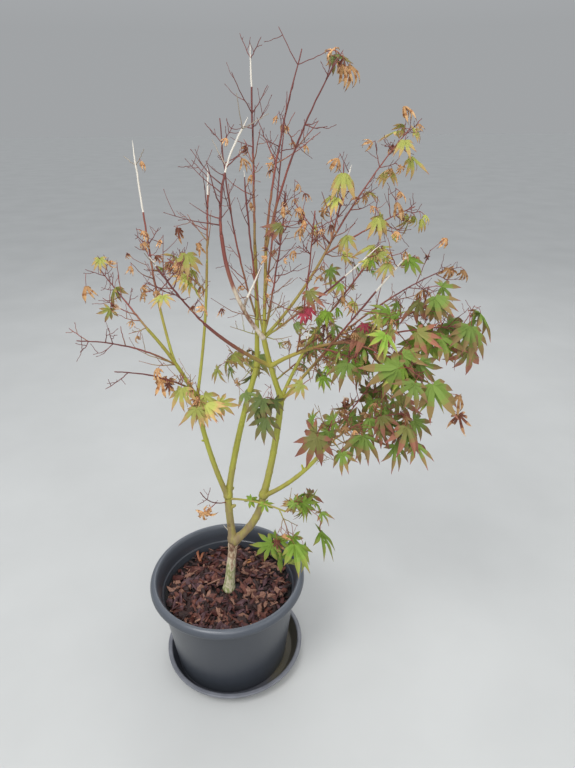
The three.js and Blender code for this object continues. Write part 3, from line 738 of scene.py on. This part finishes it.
# Its waves: depth, length along X and length along Y, of those that cross and those that run aslant
WAVES, SLANT_WAVES = (1.6, 16, 16), (0.8, 7, 9)
CHIP_COUNT, SLIVER_COUNT, CHIP_SEED = 780, 420, 77
CHIP_LENGTH, CHIP_WIDTH, SMALL_MORE = (16, 54), (9, 24), 1.4
SLIVER_LENGTH, SLIVER_WIDTH = (8, 26), (2, 5)
TRUNK_ROOM, CHIP_ROOM, EDGE_ROOM = 17.0, 0.4, 0.35
CHIP_LEVEL, CHIP_CLIMB, CHIP_ROLL, ROLL_LEAST = (-1, 10), 75, 110, 0.4
CHIP_THICK, CHIP_SIDES, CHIP_MORE_SIDES = (1.5, 5), 4, 3
CORNER_STRAY, CORNER_REACH, CHIP_ARCH = 0.6, (0.65, 1.15), (-0.1, 0.25)
TOP_REACH, TOP_HEIGHT, RIDGE_HEIGHT = (0.7, 1.0), (0.5, 1), (0.5, 0.9)


def bed_height(x, y):
    deep, long, wide = WAVES
    low, aslant, across = SLANT_WAVES
    return deep * sin(x / long) * cos(y / wide) + low * sin(x / aslant + y / across)


def add_bed(pile):
    """The top of the mix."""
    points, faces = [(0, 0, MIX_LEVEL)], []
    for ring in range(1, BED_RINGS + 1):
        reach = BED_RADIUS * ring / BED_RINGS
        for step in range(BED_TURNS):
            turn = 2 * pi * step / BED_TURNS
            x, y = reach * cos(turn), reach * sin(turn)
            points.append((x, y, MIX_LEVEL - BED_SINK + bed_height(x, y)))
    for step in range(BED_TURNS):
        after = (step + 1) % BED_TURNS
        faces.append((0, 1 + step, 1 + after))
        for ring in range(BED_RINGS - 1):
            low, high = 1 + ring * BED_TURNS, 1 + (ring + 1) * BED_TURNS
            faces.append((low + step, high + step, high + after, low + after))
    pile.add(np.array(points, float), faces, 0)


def chip_points(centre, length, width, level, draw):
    """A chip's lower and upper ring, the middle of its top and the middle of its underside."""
    along = bearing(360 * draw(), stray(CHIP_CLIMB, draw))
    tilt = square_to(along, 90 + stray(CHIP_ROLL, draw) * (ROLL_LEAST + level))
    across = np.cross(tilt, along)
    thick = within(CHIP_THICK, draw)
    sides = CHIP_SIDES + int(CHIP_MORE_SIDES * draw())
    ring = []
    for corner in range(sides):
        angle = 2 * pi * (corner + stray(CORNER_STRAY, draw)) / sides
        stretch = within(CORNER_REACH, draw)
        ring.append(along * (length / 2 * stretch * cos(angle))
                    + across * (width / 2 * stretch * sin(angle)))
    arch = within(CHIP_ARCH, draw)
    lift = [tilt * (-arch * norm(point @ across) ** 2 / width * 2) for point in ring]
    lower = [centre + point + rise - tilt * thick / 2 for point, rise in zip(ring, lift)]
    upper = [
        centre + point * within(TOP_REACH, draw) + rise + tilt * thick / 2 * within(TOP_HEIGHT, draw)
        for point, rise in zip(ring, lift)
    ]
    ridge = centre + tilt * thick * within(RIDGE_HEIGHT, draw)
    return np.array(lower + upper + [ridge, centre - tilt * thick / 2]), sides


def chip_faces(sides):
    faces = []
    for corner in range(sides):
        after = (corner + 1) % sides
        faces.append((corner, after, sides + after, sides + corner))
        faces.append((sides + corner, sides + after, 2 * sides))
        faces.append((after, corner, 2 * sides + 1))
    return faces


def make_mulch(shades):
    pile = Pile("bark_mulch", shades)
    add_bed(pile)
    draw = random(CHIP_SEED)
    for chip in range(CHIP_COUNT + SLIVER_COUNT):
        length, width = between(*CHIP_LENGTH, draw() ** SMALL_MORE), within(CHIP_WIDTH, draw)
        if chip >= CHIP_COUNT:
            length, width = within(SLIVER_LENGTH, draw), within(SLIVER_WIDTH, draw)
        reach = sqrt(draw()) * (BED_RADIUS - length * EDGE_ROOM)
        turn = 2 * pi * draw()
        centre = np.array([reach * cos(turn), reach * sin(turn), 0.0])
        level = draw()
        if norm((centre - TRUNK_FOOT)[:2]) < TRUNK_ROOM + length * CHIP_ROOM:
            continue
        centre[2] = MIX_LEVEL + bed_height(centre[0], centre[1]) + between(*CHIP_LEVEL, level)
        points, sides = chip_points(centre, length, width, level, draw)
        shade = 1 + int((len(shades) - 1) * draw() ** SMALL_MORE)
        pile.add(points, chip_faces(sides), min(shade, len(shades) - 1))
    piece = pile.make(smooth=False)
    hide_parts("potting_mix")


# Limbs: collars where they leave a thicker one, and swellings at their nodes
RING_SPACING, LEAST_STEPS = 3.5, 3
COLLAR, COLLAR_LENGTH, COLLAR_START = 0.4, 7.0, 0.9
NODE_SPACING, FIRST_NODE, NEXT_NODE, NODE_END = 46.0, (0.5, 0.9), (0.75, 1.3), 8
NODE_SWELL, NODE_WIDTH = 0.09, 3.0
# Ridges along the bark: how many go round, their twist and sway, and their length
RIDGES, TWIST, TWISTS, SWAYS, RIDGE_LENGTH = (2, 3, 5, 8), 0.5, 4, 7, 120
LIMB_SEED, THICK_GIRTH, TRUNK_SINK = 4000, 10, 2
# Sides and depth of the ridges: trunk, thick limbs and thin ones
TRUNK_FORM, THICK_FORM, THIN_FORM = (48, 0.055), (20, 0.03), (12, 0.03)
BARKS = {"red_curve": 1, "fan_limb": 2, "right_limb": 2, "low_limb": 2, "left_limb": 3}


def trunk_radius(part):
    flare = ROOT_FLARE * np.exp(-part / FLARE_HEIGHT)
    swell = GRAFT_SWELL * np.exp(-(((part - GRAFT_PLACE) / GRAFT_WIDTH) ** 2))
    return between(TRUNK["girth"][0], TRUNK["girth"][1], part) / 2 + flare + swell


def waves(count, sides, draw, length, spacing):
    """Long low ridges running along a limb."""
    at = np.arange(count)[:, None] * spacing
    turns = around(sides)[None, :]
    out = np.zeros((count, sides))
    for lobe in RIDGES:
        shift, twist = 2 * pi * draw(), stray(TWIST, draw)
        sway = sin(shift) * np.sin(at / length * SWAYS)
        out += np.cos(lobe * turns + shift + twist * at / length * TWISTS + sway) / lobe
    return out


def limb_shape(name, line, made, draw):
    """Fine line, ring radii and ring spacing of one limb."""
    length = norm(np.diff(line, axis=0), 1).sum()
    fine = smooth_line(line, max(int(length / RING_SPACING / (len(line) - 1)), LEAST_STEPS))
    spacing = length / (len(fine) - 1)
    part = np.linspace(0, 1, len(fine))
    if name == "trunk":
        return fine, trunk_radius(part), spacing
    at = part * length
    radii = between(*made["girth"], part) / 2
    start = thickest(made["from"]) * COLLAR_START
    radii = radii * (1 + COLLAR * np.exp(-np.maximum(at - start, 0) / COLLAR_LENGTH))
    node = NODE_SPACING * within(FIRST_NODE, draw)
    while node < length - NODE_END:
        radii = radii * (1 + NODE_SWELL * np.exp(-((at - node) / NODE_WIDTH) ** 2))
        node += NODE_SPACING * within(NEXT_NODE, draw)
    return fine, radii, spacing


def make_limbs(trunk_bark, shoots):
    trunk_pile = Pile("trunk_bark", [trunk_bark])
    thick_pile = Pile("stems", [shoots["green"]])
    thin_pile = Pile("boughs", [shoots["green"], shoots["red"], shoots["right"], shoots["left"]])
    for order, (name, line) in enumerate(LINES.items()):
        made = TRUNK if name == "trunk" else LIMBS[name]
        draw = random(LIMB_SEED + order)
        fine, radii, spacing = limb_shape(name, line, made, draw)
        thick = made["girth"][0] > THICK_GIRTH
        sides, depth = TRUNK_FORM if name == "trunk" else THICK_FORM if thick else THIN_FORM
        relief = waves(len(fine), sides, draw, RIDGE_LENGTH, spacing) * radii[:, None] * depth
        points, faces = tube(fine, radii, sides, relief)
        if name == "trunk":
            points[:, 2] = np.maximum(points[:, 2], MIX_LEVEL - TRUNK_SINK)
            trunk_pile.add(points, faces, 0)
        elif thick:
            thick_pile.add(points, faces, 0)
        else:
            thin_pile.add(points, faces, BARKS.get(name, 0))
    add_stubs(thick_pile)
    piece = trunk_pile.make()
    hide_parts("trunk")
    piece = thick_pile.make()
    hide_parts(*[name for name, made in LIMBS.items() if made["girth"][0] > THICK_GIRTH])
    piece = thin_pile.make()
    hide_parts(*[name for name, made in LIMBS.items() if made["girth"][0] <= THICK_GIRTH])


# Cut stubs and knobs: limb, place, angle, spread, length and girth
STUBS = (
    ("left_foot", 0.3, 200, 35, 24, 5), ("left_foot", 0.75, 100, 60, 14, 10),
    ("middle_stem", 0.04, 40, 60, 12, 9), ("right_bough", 0.62, 80, 50, 14, 5),
    ("centre_stem", 0.5, 20, 60, 8, 6), ("left_stem", 0.6, 240, 60, 8, 5),
)
STUB_TAPER, STUB_START, STUB_SIDES = (1.25, 1.1, 1, 0.95, 0.9, 0.85, 0.7), 0.5, 10
# Bleached spurs of dead wood: limb, place, heading, climb, length and girth
SPURS = (
    ("red_curve", 0.36, 10, 64, 96, 6), ("left_foot", 0.1, 175, 60, 44, 3),
    ("right_limb", 0.5, 60, 60, 80, 4),
)
SPUR_TAPER = (1.0, 0.92, 0.85, 0.8, 0.7, 0.62, 0.5, 0.3, 0.08)
SPUR_GREY, SPUR_SIDES, SPUR_KINK = 2, 8, 0.3


def add_stubs(pile):
    last = len(STUB_TAPER) - 1
    for name, place, angle, spread, length, girth in STUBS:
        way = branch_way(way_at(LINES[name], place), angle, spread)
        start, sunk = point_at(LINES[name], place), thickest(name) * STUB_START
        fine = np.array([start + way * (sunk + length * step / last) for step in range(last + 1)])
        pile.add(*tube(fine, np.array(STUB_TAPER) * girth / 2, STUB_SIDES), 0)


def add_spurs(pile):
    steps = len(SPUR_TAPER)
    for name, place, heading, climb, length, girth in SPURS:
        start, way = point_at(LINES[name], place), bearing(heading, climb)
        fine = np.array([start + way * (length * step / (steps - 1)) for step in range(steps)])
        marks = [GREY if step < SPUR_GREY else BLEACHED for step in range(steps)]
        radii = np.array(SPUR_TAPER) * girth / 2
        add_twig(pile, fine, radii, SPUR_SIDES, marks, girth * SPUR_KINK, random(length))


# Twigs, and how red a mass's stem starts and ends, from 0, lime, to 1, maroon, by the limb that bears it
TWIG_SHADES = {
    "lime": "#a6a648", "olive": "#989244", "tan": "#967848", "russet": "#8f5e46", "red": "#8a4c42",
    "maroon": "#74403c", "grey": "#a09484", "bleached": "#e4ddd0", "stalk": "#96483e",
}
SHADE_ORDER = list(TWIG_SHADES)
LIVE_SHADES, REDDEST = 6, 0.999
GREY, BLEACHED, STALK = (SHADE_ORDER.index(name) for name in ("grey", "bleached", "stalk"))
REDNESS = {
    "left_fork": (0.35, 0.9), "left_stem": (0.1, 0.5), "left_tall": (0.5, 0.85), "left_leader": (0.3, 0.8),
    "left_limb": (0.7, 1.0), "red_curve": (0.8, 1.0), "middle_top": (0.4, 0.9), "centre_top": (0.45, 0.9),
    "centre_limb": (0.2, 0.95), "fan_limb": (0.6, 0.8), "mid_limb": (0.3, 0.8), "low_limb": (0.4, 0.9),
    "right_limb": (0.5, 0.8), "right_bough": (0.2, 0.7), "low_bough": (0.0, 0.5), "left_foot": (0.8, 0.9),
    "middle_stem": (0.1, 0.4), "centre_stem": (0.2, 0.6),
}
REDDENED, TWIG_REDDER, TONE_STRAY = 0.55, 0.25, 0.2
# A stem's steps to each stretch, its sides, its kink, and the swelling of each third ring
STEM_FORM, RING_SWELL, SWOLLEN_RING = (5, 8, 0.25), 0.1, 3
# Steps to each stretch, girth at the tip and sides
TWIG_FORMS = {"twigs": (4, TWIG_TIP, 6), "fine_twigs": (3, HAIR_TIP, 4)}
TWIG_KINK = 1.6
# Places past the tip and radii of a bud
BUD, BUD_SIDES = ((-0.5, 0.45), (1.2, 0.75), (3.4, 0.12)), 4


def tone(level):
    return int(min(max(level, 0), REDDEST) * LIVE_SHADES)


def redness(name, part):
    """It grows fast along the lower half of a mass's stem."""
    return between(*REDNESS[MASSES[name]["from"]], min(part / REDDENED, 1))


def add_twig(pile, line, radii, sides, marks, kink, draw):
    """A tapering twig with slight kinks; a mark for each ring."""
    strays = np.array([stray_point(draw) for _ in line])
    strays[0] = strays[-1] = 0
    points, faces = tube(line + strays * kink, radii, sides)
    side_marks = [mark for mark in marks[:-1] for _ in range(sides)]
    pile.add(points, faces, side_marks + [marks[0], marks[-1]] * sides)


def add_stem(pile, name, draw):
    """A mass's stem, redder from ring to ring and bleached where it is dead."""
    steps, sides, kink = STEM_FORM
    girth, dead = MASSES[name]["girth"][0], DEAD_TIPS.get(name, ALIVE)
    fine = smooth_line(STEMS[name], steps)
    swollen = np.arange(len(fine)) % SWOLLEN_RING == 0
    radii = np.linspace(girth, STEM_TIP, len(fine)) / 2 * (1 + RING_SWELL * swollen)
    if name in DEAD_TIPS:
        radii = np.maximum(radii, DEAD_GIRTH / 2)
        radii[-len(DEAD_TAPER):] *= np.array(DEAD_TAPER)
    parts = np.linspace(0, 1, len(fine))
    marks = [BLEACHED if part >= dead else tone(redness(name, part)) for part in parts]
    add_twig(pile, fine, radii, sides, marks, girth * kink, draw)


def twig_marks(name, place, count, draw):
    """The tone of each ring of a twig, redder than its place on the stem, or grey on a dead one."""
    level = redness(name, place) + stray(TONE_STRAY, draw)
    if place >= DEAD_TIPS.get(name, ALIVE):
        return [GREY] * count
    return [tone(level + TWIG_REDDER * part) for part in np.linspace(0, 1, count)]


def add_side_twig(piles, kind, name, line, girth, place, draw):
    """A twig, with a small pointed bud at its tip."""
    steps, tip, sides = TWIG_FORMS[kind]
    fine = smooth_line(line, steps)
    marks = twig_marks(name, place, len(fine), draw)
    add_twig(piles[kind], fine, np.linspace(girth, tip, len(fine)) / 2, sides, marks, TWIG_KINK, draw)
    bud = np.array([line[-1] + way_at(line, 1) * length for length, _ in BUD])
    piles["fine_twigs"].add(*tube(bud, [radius for _, radius in BUD], BUD_SIDES), marks[-1])


# Leaves: angle and length of each lobe, and places along it, their widths and where its shades end
LOBES = ((0, 1.0), (29, 0.94), (-29, 0.94), (60, 0.78), (-60, 0.78), (98, 0.46), (-98, 0.46))
STATIONS = (0.0, 0.14, 0.28, 0.4, 0.52, 0.66, 0.82, 1.0)
LOBE_WIDTHS = (0.0, 0.055, 0.06, 0.068, 0.079, 0.062, 0.027, 0.0)
ZONE_ENDS = (0.35, 0.5, 0.7)
LEAF_DEPTH = 0.5
PETIOLE, PETIOLE_SIDES, PETIOLE_STEPS, PETIOLE_SAG = 1.1, 4, 3, 0.06
LOBE_STRAY, LOBE_LENGTH = 12.0, (0.88, 1.05)
# The least breadth of a lobe and what its length adds to it
LOBE_BREADTH, LONG_BREADTH = 0.8, 0.35
# How far lobes curve over, fold down and bend aside, and how deep their crease is: fresh and dry
CURVE, FOLD = ((0.1, 0.9), (0.5, 2.2)), ((0.0, 0.7), (0.2, 1.1))
BEND, CREASE, BREADTH = (0.45, 1.6), ((0.2, 0.5), (0.4, 1.0)), (1, 0.72)
TINT_ZONES = {
    "fresh": ("#7a9242", "#828c44", "#917a4c", "#966452"),
    "lush": ("#7c9a38", "#84a03e", "#909c44", "#9a8a4a"),
    "bronze": ("#807f44", "#8e7448", "#98644e", "#8f544c"),
    "yellow": ("#a8ac58", "#b2ab5e", "#bb9f66", "#b58460"),
    "dull": ("#708048", "#7c844a", "#867e4e", "#8c704e"),
    "crimson": ("#9a3a48", "#a2424c", "#8c3440", "#7a3036"),
    "dry": ("#c49a6c", "#ab774c", "#d6ae7e", "#94653f"),
    "withered": ("#7a4c3c", "#8f5c44", "#c49a74", "#ead2ae"),
}
DRY_GROWTH = 1.25
SHADE_STEPS = (0.78, 1.0, 1.25)


def leaf_faces():
    """Faces of one leaf: both skins and the rim of every lobe."""
    last = len(STATIONS) - 1
    faces, zones = [], []
    per_lobe = 3 * (last + 1)
    layer = per_lobe * len(LOBES)
    for base in range(0, layer, per_lobe):
        for step in range(last):
            zone = sum(STATIONS[step] >= end for end in ZONE_ENDS)
            start = base + 3 * step
            for side in (start, start + 1):
                quad = (side, side + 1, side + 4, side + 3)
                faces.append(quad)
                faces.append(tuple(layer + corner for corner in reversed(quad)))
                zones += [zone, zone]
            for low, order in ((start, 1), (start + 2, -1)):
                faces.append((low, low + 3, layer + low + 3, layer + low)[::order])
                zones.append(zone)
    return faces, zones


LEAF_FACES, LEAF_ZONES = leaf_faces()


def leaf_points(leaf, draw):
    """Both skins of a leaf: lobes that fan out from its root and curve over along their length."""
    size, along, face = leaf["size"], leaf["along"], leaf["face"]
    across = np.cross(along, face)
    dry = int(leaf["dry"])
    fold = within(FOLD[dry], draw)
    upper, lower = [], []
    for angle, reach in LOBES:
        turn = radians(angle + stray(LOBE_STRAY, draw))
        length = size * reach * within(LOBE_LENGTH, draw)
        curve = within(CURVE[dry], draw)
        bend = stray(BEND[dry], draw)
        crease = within(CREASE[dry], draw)
        breadth = size * (LOBE_BREADTH + LONG_BREADTH * reach) * BREADTH[dry]
        dip = fold * abs(sin(turn))
        spine, before = leaf["root"], 0.0
        for share, width in zip(STATIONS, LOBE_WIDTHS):
            lean, over = turn + bend * share * share, dip + curve * share
            ray, cross = swing(along, across, lean), swing(across, -along, lean)
            spine = spine + swing(ray, -face, over) * (length * (share - before))
            before = share
            rise = swing(face, ray, over)
            for side in (-1, 0, 1):
                edge = side * width * breadth
                point = spine + cross * edge + rise * (abs(side) * crease * width * breadth)
                upper.append(point + rise * (LEAF_DEPTH / 2))
                lower.append(point - rise * (LEAF_DEPTH / 2))
    return np.array(upper + lower)


# Dried leaves lying on the chips: tint, shade, place, heading, climb, where they face and size
FALLEN = (
    ("withered", 5, (-86, 94, 217), 128, 42, 30, 56), ("dry", 4, (-60, 118, 216), 20, 10, 60, 36),
    ("dry", 4, (60, 96, 215), 200, 15, 70, 34),
)
# Leaves that the photo shows one by one: tint, mass or limb that bears it, root, heading, climb,
# climb of its face and size
PLACED = (
    ("lush", "low_bough", (72, -27, 521), 215, -60, 45, 42),
    ("lush", "low_bough", (103, -48, 522), -60, -65, 45, 36),
    ("fresh", "low_spray", (168, -79, 551), -20, -50, 45, 48),
    ("bronze", "low_spray", (201, -60, 556), 5, -30, 45, 50),
    ("dry", "low_spray", (155, -79, 548), -60, -60, 45, 36),
    ("lush", "low_spray", (226, -108, 486), 5, -48, 85, 84),
    ("dull", "tall_right", (235, -28, 1412), 0, -8, 45, 44),
    ("dry", "tall_right", (251, -33, 1400), -40, -45, 45, 46),
    ("dry", "tall_right", (264, -20, 1398), -10, -40, 45, 48),
    ("dry", "tall_right", (237, -25, 1420), 100, 30, 45, 38),
    ("crimson", "fan_inner", (200, -39, 983), -110, -60, 45, 34),
    ("crimson", "mid_fan", (187, -74, 984), -60, -50, 45, 26),
    ("crimson", "fan_low", (301, -107, 973), -100, -50, 45, 24),
    ("crimson", "right_back", (330, -39, 925), -80, -60, 45, 30),
    ("yellow", "left_mid", (-42, 30, 1074), -80, -50, 45, 58),
    ("yellow", "left_far", (-220, 45, 1064), -80, -60, 45, 34),
    ("dry", "upper_right", (400, 191, 1336), -60, -10, 45, 44),
    ("withered", "left_spire", (-56, 41, 1123), -90, -60, 45, 38),
    ("dry", "foot_twig", (-44, -24, 478), -100, -75, 20, 56),
    ("dry", "foot_twig", (-38, -20, 476), -50, -80, 20, 52),
    ("dry", "right_back", (481, 64, 1094), -90, -60, 45, 34),
    ("dry", "right_back", (498, 77, 1029), -80, -60, 45, 44),
    ("dry", "right_back", (527, 67, 1027), -60, -60, 45, 40),
    ("dry", "cluster_low", (474, -168, 854), -100, -60, 30, 46),
    ("withered", "cluster_low", (478, -168, 814), -70, -50, 30, 48),
    ("dry", "left_spire", (-19, 42, 1093), -70, -60, 45, 36),
    ("dry", "left_far", (-247, 16, 1014), -90, -40, 45, 40),
    ("dry", "left_low", (-96, -68, 848), -70, -60, 45, 58),
)
VIEWER, BEARING_STEPS = -90, 9
FALLEN_SEED, MASS_SEED, PLACED_SEED = 500, 9000, 7000


def set_leaf(root, heading, climb, face_climb, size, dry):
    """A leaf that lies as named, not as grown, with its face to the front."""
    along = bearing(heading, climb)
    face = squared(bearing(VIEWER, face_climb), along)
    return {"root": np.array(root, float), "along": along, "face": face, "size": size, "dry": dry}


def nearest_on(lines, point):
    """The nearest of a few places along each line."""
    places = np.array([point_at(line, part) for line in lines for part in np.linspace(0, 1, BEARING_STEPS)])
    return places[np.argmin(norm(places - point, 1))]


def add_leaf(piles, leaf, tint, draw):
    """A leaf and the stalk that holds it."""
    step = int(len(SHADE_STEPS) * draw())
    marks = [zone * len(SHADE_STEPS) + step for zone in LEAF_ZONES]
    piles[tint].add(leaf_points(leaf, draw), LEAF_FACES, marks)
    sag = (leaf["held"] + leaf["root"]) / 2 + leaf["face"] * (PETIOLE_SAG * leaf["size"])
    stalk = smooth_line([leaf["held"], sag, leaf["root"]], PETIOLE_STEPS)
    piles["fine_twigs"].add(*tube(stalk, [PETIOLE / 2] * len(stalk), PETIOLE_SIDES), STALK)


def add_mass(piles, name, draw):
    """One mass; gives back all its lines."""
    made = MASSES[name]
    twigs, leaves = grow_mass(name)
    fine = FineGrowth(name, twigs, leaves)
    add_stem(piles["twigs"], name, draw)
    for index, (line, girth) in enumerate(twigs):
        add_side_twig(piles, "twigs", name, line, girth, pair_place(index // 2, made), draw)
    for line, girth, place in fine.twigs:
        add_side_twig(piles, "fine_twigs", name, line, girth, place, draw)
    tints, dried = TINTS.get(name, "yellow").split(), DRIED_TINTS.get(name, DRIED).split()
    for leaf in leaves + fine.leaves:
        choice = dried if leaf["dry"] else tints
        tint = choice[int(len(choice) * draw())]
        if leaf["dry"]:
            leaf["size"] *= DRY_GROWTH
        add_leaf(piles, leaf, tint, draw)
    return [STEMS[name]] + [line for line, *_ in twigs + fine.twigs]


def make_foliage(twig_materials, leaf_materials):
    piles = {kind: Pile(kind, twig_materials) for kind in TWIG_FORMS}
    piles.update({tint: Pile("leaves_" + tint, leaf_materials[tint]) for tint in TINT_ZONES})
    bearers = {name: [line] for name, line in LINES.items()}
    for order, name in enumerate(MASSES):
        bearers[name] = add_mass(piles, name, random(MASS_SEED + order))
    add_spurs(piles["twigs"])
    for tint, shade, place, *lie in FALLEN:
        points = leaf_points(set_leaf(place, *lie, dry=True), random(place[0] + FALLEN_SEED))
        piles[tint].add(points, LEAF_FACES, shade)
    for order, (tint, bearer, *lie) in enumerate(PLACED):
        leaf = set_leaf(*lie, dry=tint in DRIED.split())
        leaf["held"] = nearest_on(bearers[bearer], leaf["root"])
        add_leaf(piles, leaf, tint, random(PLACED_SEED + order))
    nodes = [name + "_foliage" for name in MASSES]
    for kind, pile in piles.items():
        piece = pile.make(smooth=kind in TWIG_FORMS)
        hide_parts(*nodes)


def leaf_shades():
    """Each tint's materials, zone by zone from the root of a lobe to its tip, in three strengths."""
    made = {tint: [] for tint in TINT_ZONES}
    for tint, zones in TINT_ZONES.items():
        for zone, code in enumerate(zones):
            for step, strength in enumerate(SHADE_STEPS):
                material = base_material(f"leaf_{tint}_{zone}_{step}", code, LEAF_ROUGH)
                inputs = material.node_tree.nodes["Principled BSDF"].inputs
                inputs["Specular IOR Level"].default_value = LEAF_GLOSS
                lit = [min(part * strength, 1) for part in colour(code)]
                inputs["Base Color"].default_value = (*lit, 1)
                made[tint].append(material)
    return made


# Stage, light and camera
CAMERA_PLACE = (0.1569, -1.1158, 1.3387)
CAMERA_DOWN, CAMERA_ROLL = 25.79, 0.505
CAMERA_LENS, CAMERA_SENSOR = 27.0, 36.0
FLOOR_REACH, FLOOR_CODES = 30.0, ("#c9cac8", "#cfd0ce")
# The sky's height and colour near the ground and above
SKY = ((0.1, (0.355, 0.367, 0.378, 1)), (0.6, (0.6, 0.62, 0.65, 1)))
# Name, place, target, size and power
LIGHTS = (
    ("key", (-1.2, -1.8, 3.6), (0.1, 0, 0.6), 1.6, 62), ("fill", (2.6, -1.4, 2.2), (0.1, 0, 0.6), 2.5, 14),
    ("front", (0.2, -2.9, 2.5), (0.1, 0, 0.5), 2.2, 30), ("back", (0.4, 2.8, 2.8), (0.1, 0, 0.8), 2.5, 22),
)


def make_camera():
    data = bpy.data.cameras.new("camera")
    data.lens, data.sensor_width = CAMERA_LENS, CAMERA_SENSOR
    tilt, roll = radians(CAMERA_DOWN), radians(CAMERA_ROLL)
    ahead = Vector((0, cos(tilt), -sin(tilt)))
    down = Vector((0, -sin(tilt), -cos(tilt)))
    right = Vector((1, 0, 0))
    image_down, image_right = swing(down, -right, roll), swing(right, down, roll)
    turn = Matrix((image_right, -image_down, -ahead)).transposed().to_4x4()
    camera = bpy.context.scene.camera = add_object("camera", data)
    camera.matrix_world = Matrix.Translation(CAMERA_PLACE) @ turn


def make_lights():
    for name, place, target, size, power in LIGHTS:
        data = bpy.data.lights.new(name, "AREA")
        data.shape, data.size, data.energy = "DISK", size, power
        light = add_object(name, data)
        light.location = place
        light.rotation_euler = (Vector(target) - Vector(place)).to_track_quat("-Z", "Y").to_euler()


def make_sky():
    world = bpy.data.worlds.new("soft_sky")
    bpy.context.scene.world = world
    world.use_nodes = True
    tree = world.node_tree
    place, parts, ramp = (add_node(tree, kind) for kind in ("TexCoord", "SeparateXYZ", "ValToRGB"))
    for element, (height, shade) in zip(ramp.color_ramp.elements, SKY):
        element.position, element.color = height, shade
    wire(tree, (place, "Generated", parts, "Vector"), (parts, "Z", ramp, "Fac"),
         (ramp, "Color", tree.nodes["Background"], "Color"))


def make_stage():
    mesh = bpy.data.meshes.new("floor")
    corners = [(FLOOR_REACH * x, FLOOR_REACH * y, 0) for x, y in ((-1, -1), (1, -1), (1, 1), (-1, 1))]
    mesh.from_pydata(corners, [], [(0, 1, 2, 3)])
    mesh.materials.append(mottled("floor_paint", FLOOR_CODES, *FLOOR_GRAIN))
    floor = add_object("floor", mesh)
    make_sky()
    make_lights()
    bpy.context.scene.view_settings.view_transform = "Standard"


# Colours, the spans in metres over which the graded ones change, and how far they wander
POT_HIGHLIGHT_SPAN, SHADE_AND_GRIME_SPAN, TRUNK_SPAN = (0.244, 0.272), (0.06, 0.16), (0.15, 0.41)
POT_WANDER, TRUNK_WANDER = 0.3, 0.9
# The pot's plastic, growing lighter up the rim band over its span: a painted highlight on the rim
POT_PLASTIC_AND_HIGHLIGHT_CODES = ("#3f434a", "#454a52", "#4e535b", "#5f646c")
SAUCER_CODES = ("#6b6d75", "#76787f", "#808289")
# Inside the saucer: a darker grey of its plastic towards -X is painted shade in the dish; the brownish
# codes towards +X are dirt
SHADE_AND_GRIME_CODES = ("#484a52", "#505056", "#66604f", "#575349")
MULCH = (
    ("mulch_soil", "#100908", "#0b0606"), ("mulch_dark", "#25120f", "#371d19"),
    ("mulch_red", "#582b25", "#45211c"), ("mulch_brown", "#774639", "#5b352c"),
    ("mulch_plum", "#482f34", "#664649"), ("mulch_tan", "#9f7662", "#7c5546"),
)
TRUNK_CODES = (
    "#9a8470", "#e8dcc0", "#93a05c", "#eae0c2", "#9aa462", "#eadcbe", "#a07a5e", "#e0ccac", "#805a44",
    "#6e5040",
)
SHOOTS = {
    "green": ("Z", (0.36, 1.24), (
        "#94805f", "#a29558", "#a8a24c", "#b0b048", "#aaac46", "#a6a444", "#a29a44", "#988640", "#84603e",
        "#764236",
    )),
    "red": ("Z", (0.88, 1.16), (
        "#c0a88a", "#e2d8c4", "#8a5e48", "#dccfb8", "#96604e", "#844842", "#84483e", "#763a36",
    )),
    "right": ("X", (0.12, 0.27), ("#aaa648", "#a08a46", "#8a6044")),
    "left": ("X", (0.0, 0.12), ("#7a423e", "#885642", "#aca24a")),
}

make_camera()
make_stage()
# The pot's rim band is lighter than its wall: painted highlight
make_pot(graded("pot_plastic", "Z", POT_HIGHLIGHT_SPAN, POT_PLASTIC_AND_HIGHLIGHT_CODES, POT_GRAIN, POT_WANDER))
# The saucer's inside: painted shade, darker grey towards -X, and dirt towards +X
make_saucer(mottled("saucer_plastic", SAUCER_CODES, *SAUCER_GRAIN),
            graded("saucer_shade_and_grime", "X", SHADE_AND_GRIME_SPAN, SHADE_AND_GRIME_CODES, SHADE_AND_GRIME_GRAIN))
make_mulch([mottled(name, codes, *CHIP_GRAIN) for name, *codes in MULCH])
make_limbs(graded("trunk_bark", "Z", TRUNK_SPAN, TRUNK_CODES, TRUNK_GRAIN, TRUNK_WANDER),
           {name: graded("shoot_" + name, *row, SHOOT_GRAIN) for name, row in SHOOTS.items()})
make_foliage([base_material("twig_" + name, code, TWIG_ROUGH) for name, code in TWIG_SHADES.items()],
             leaf_shades())
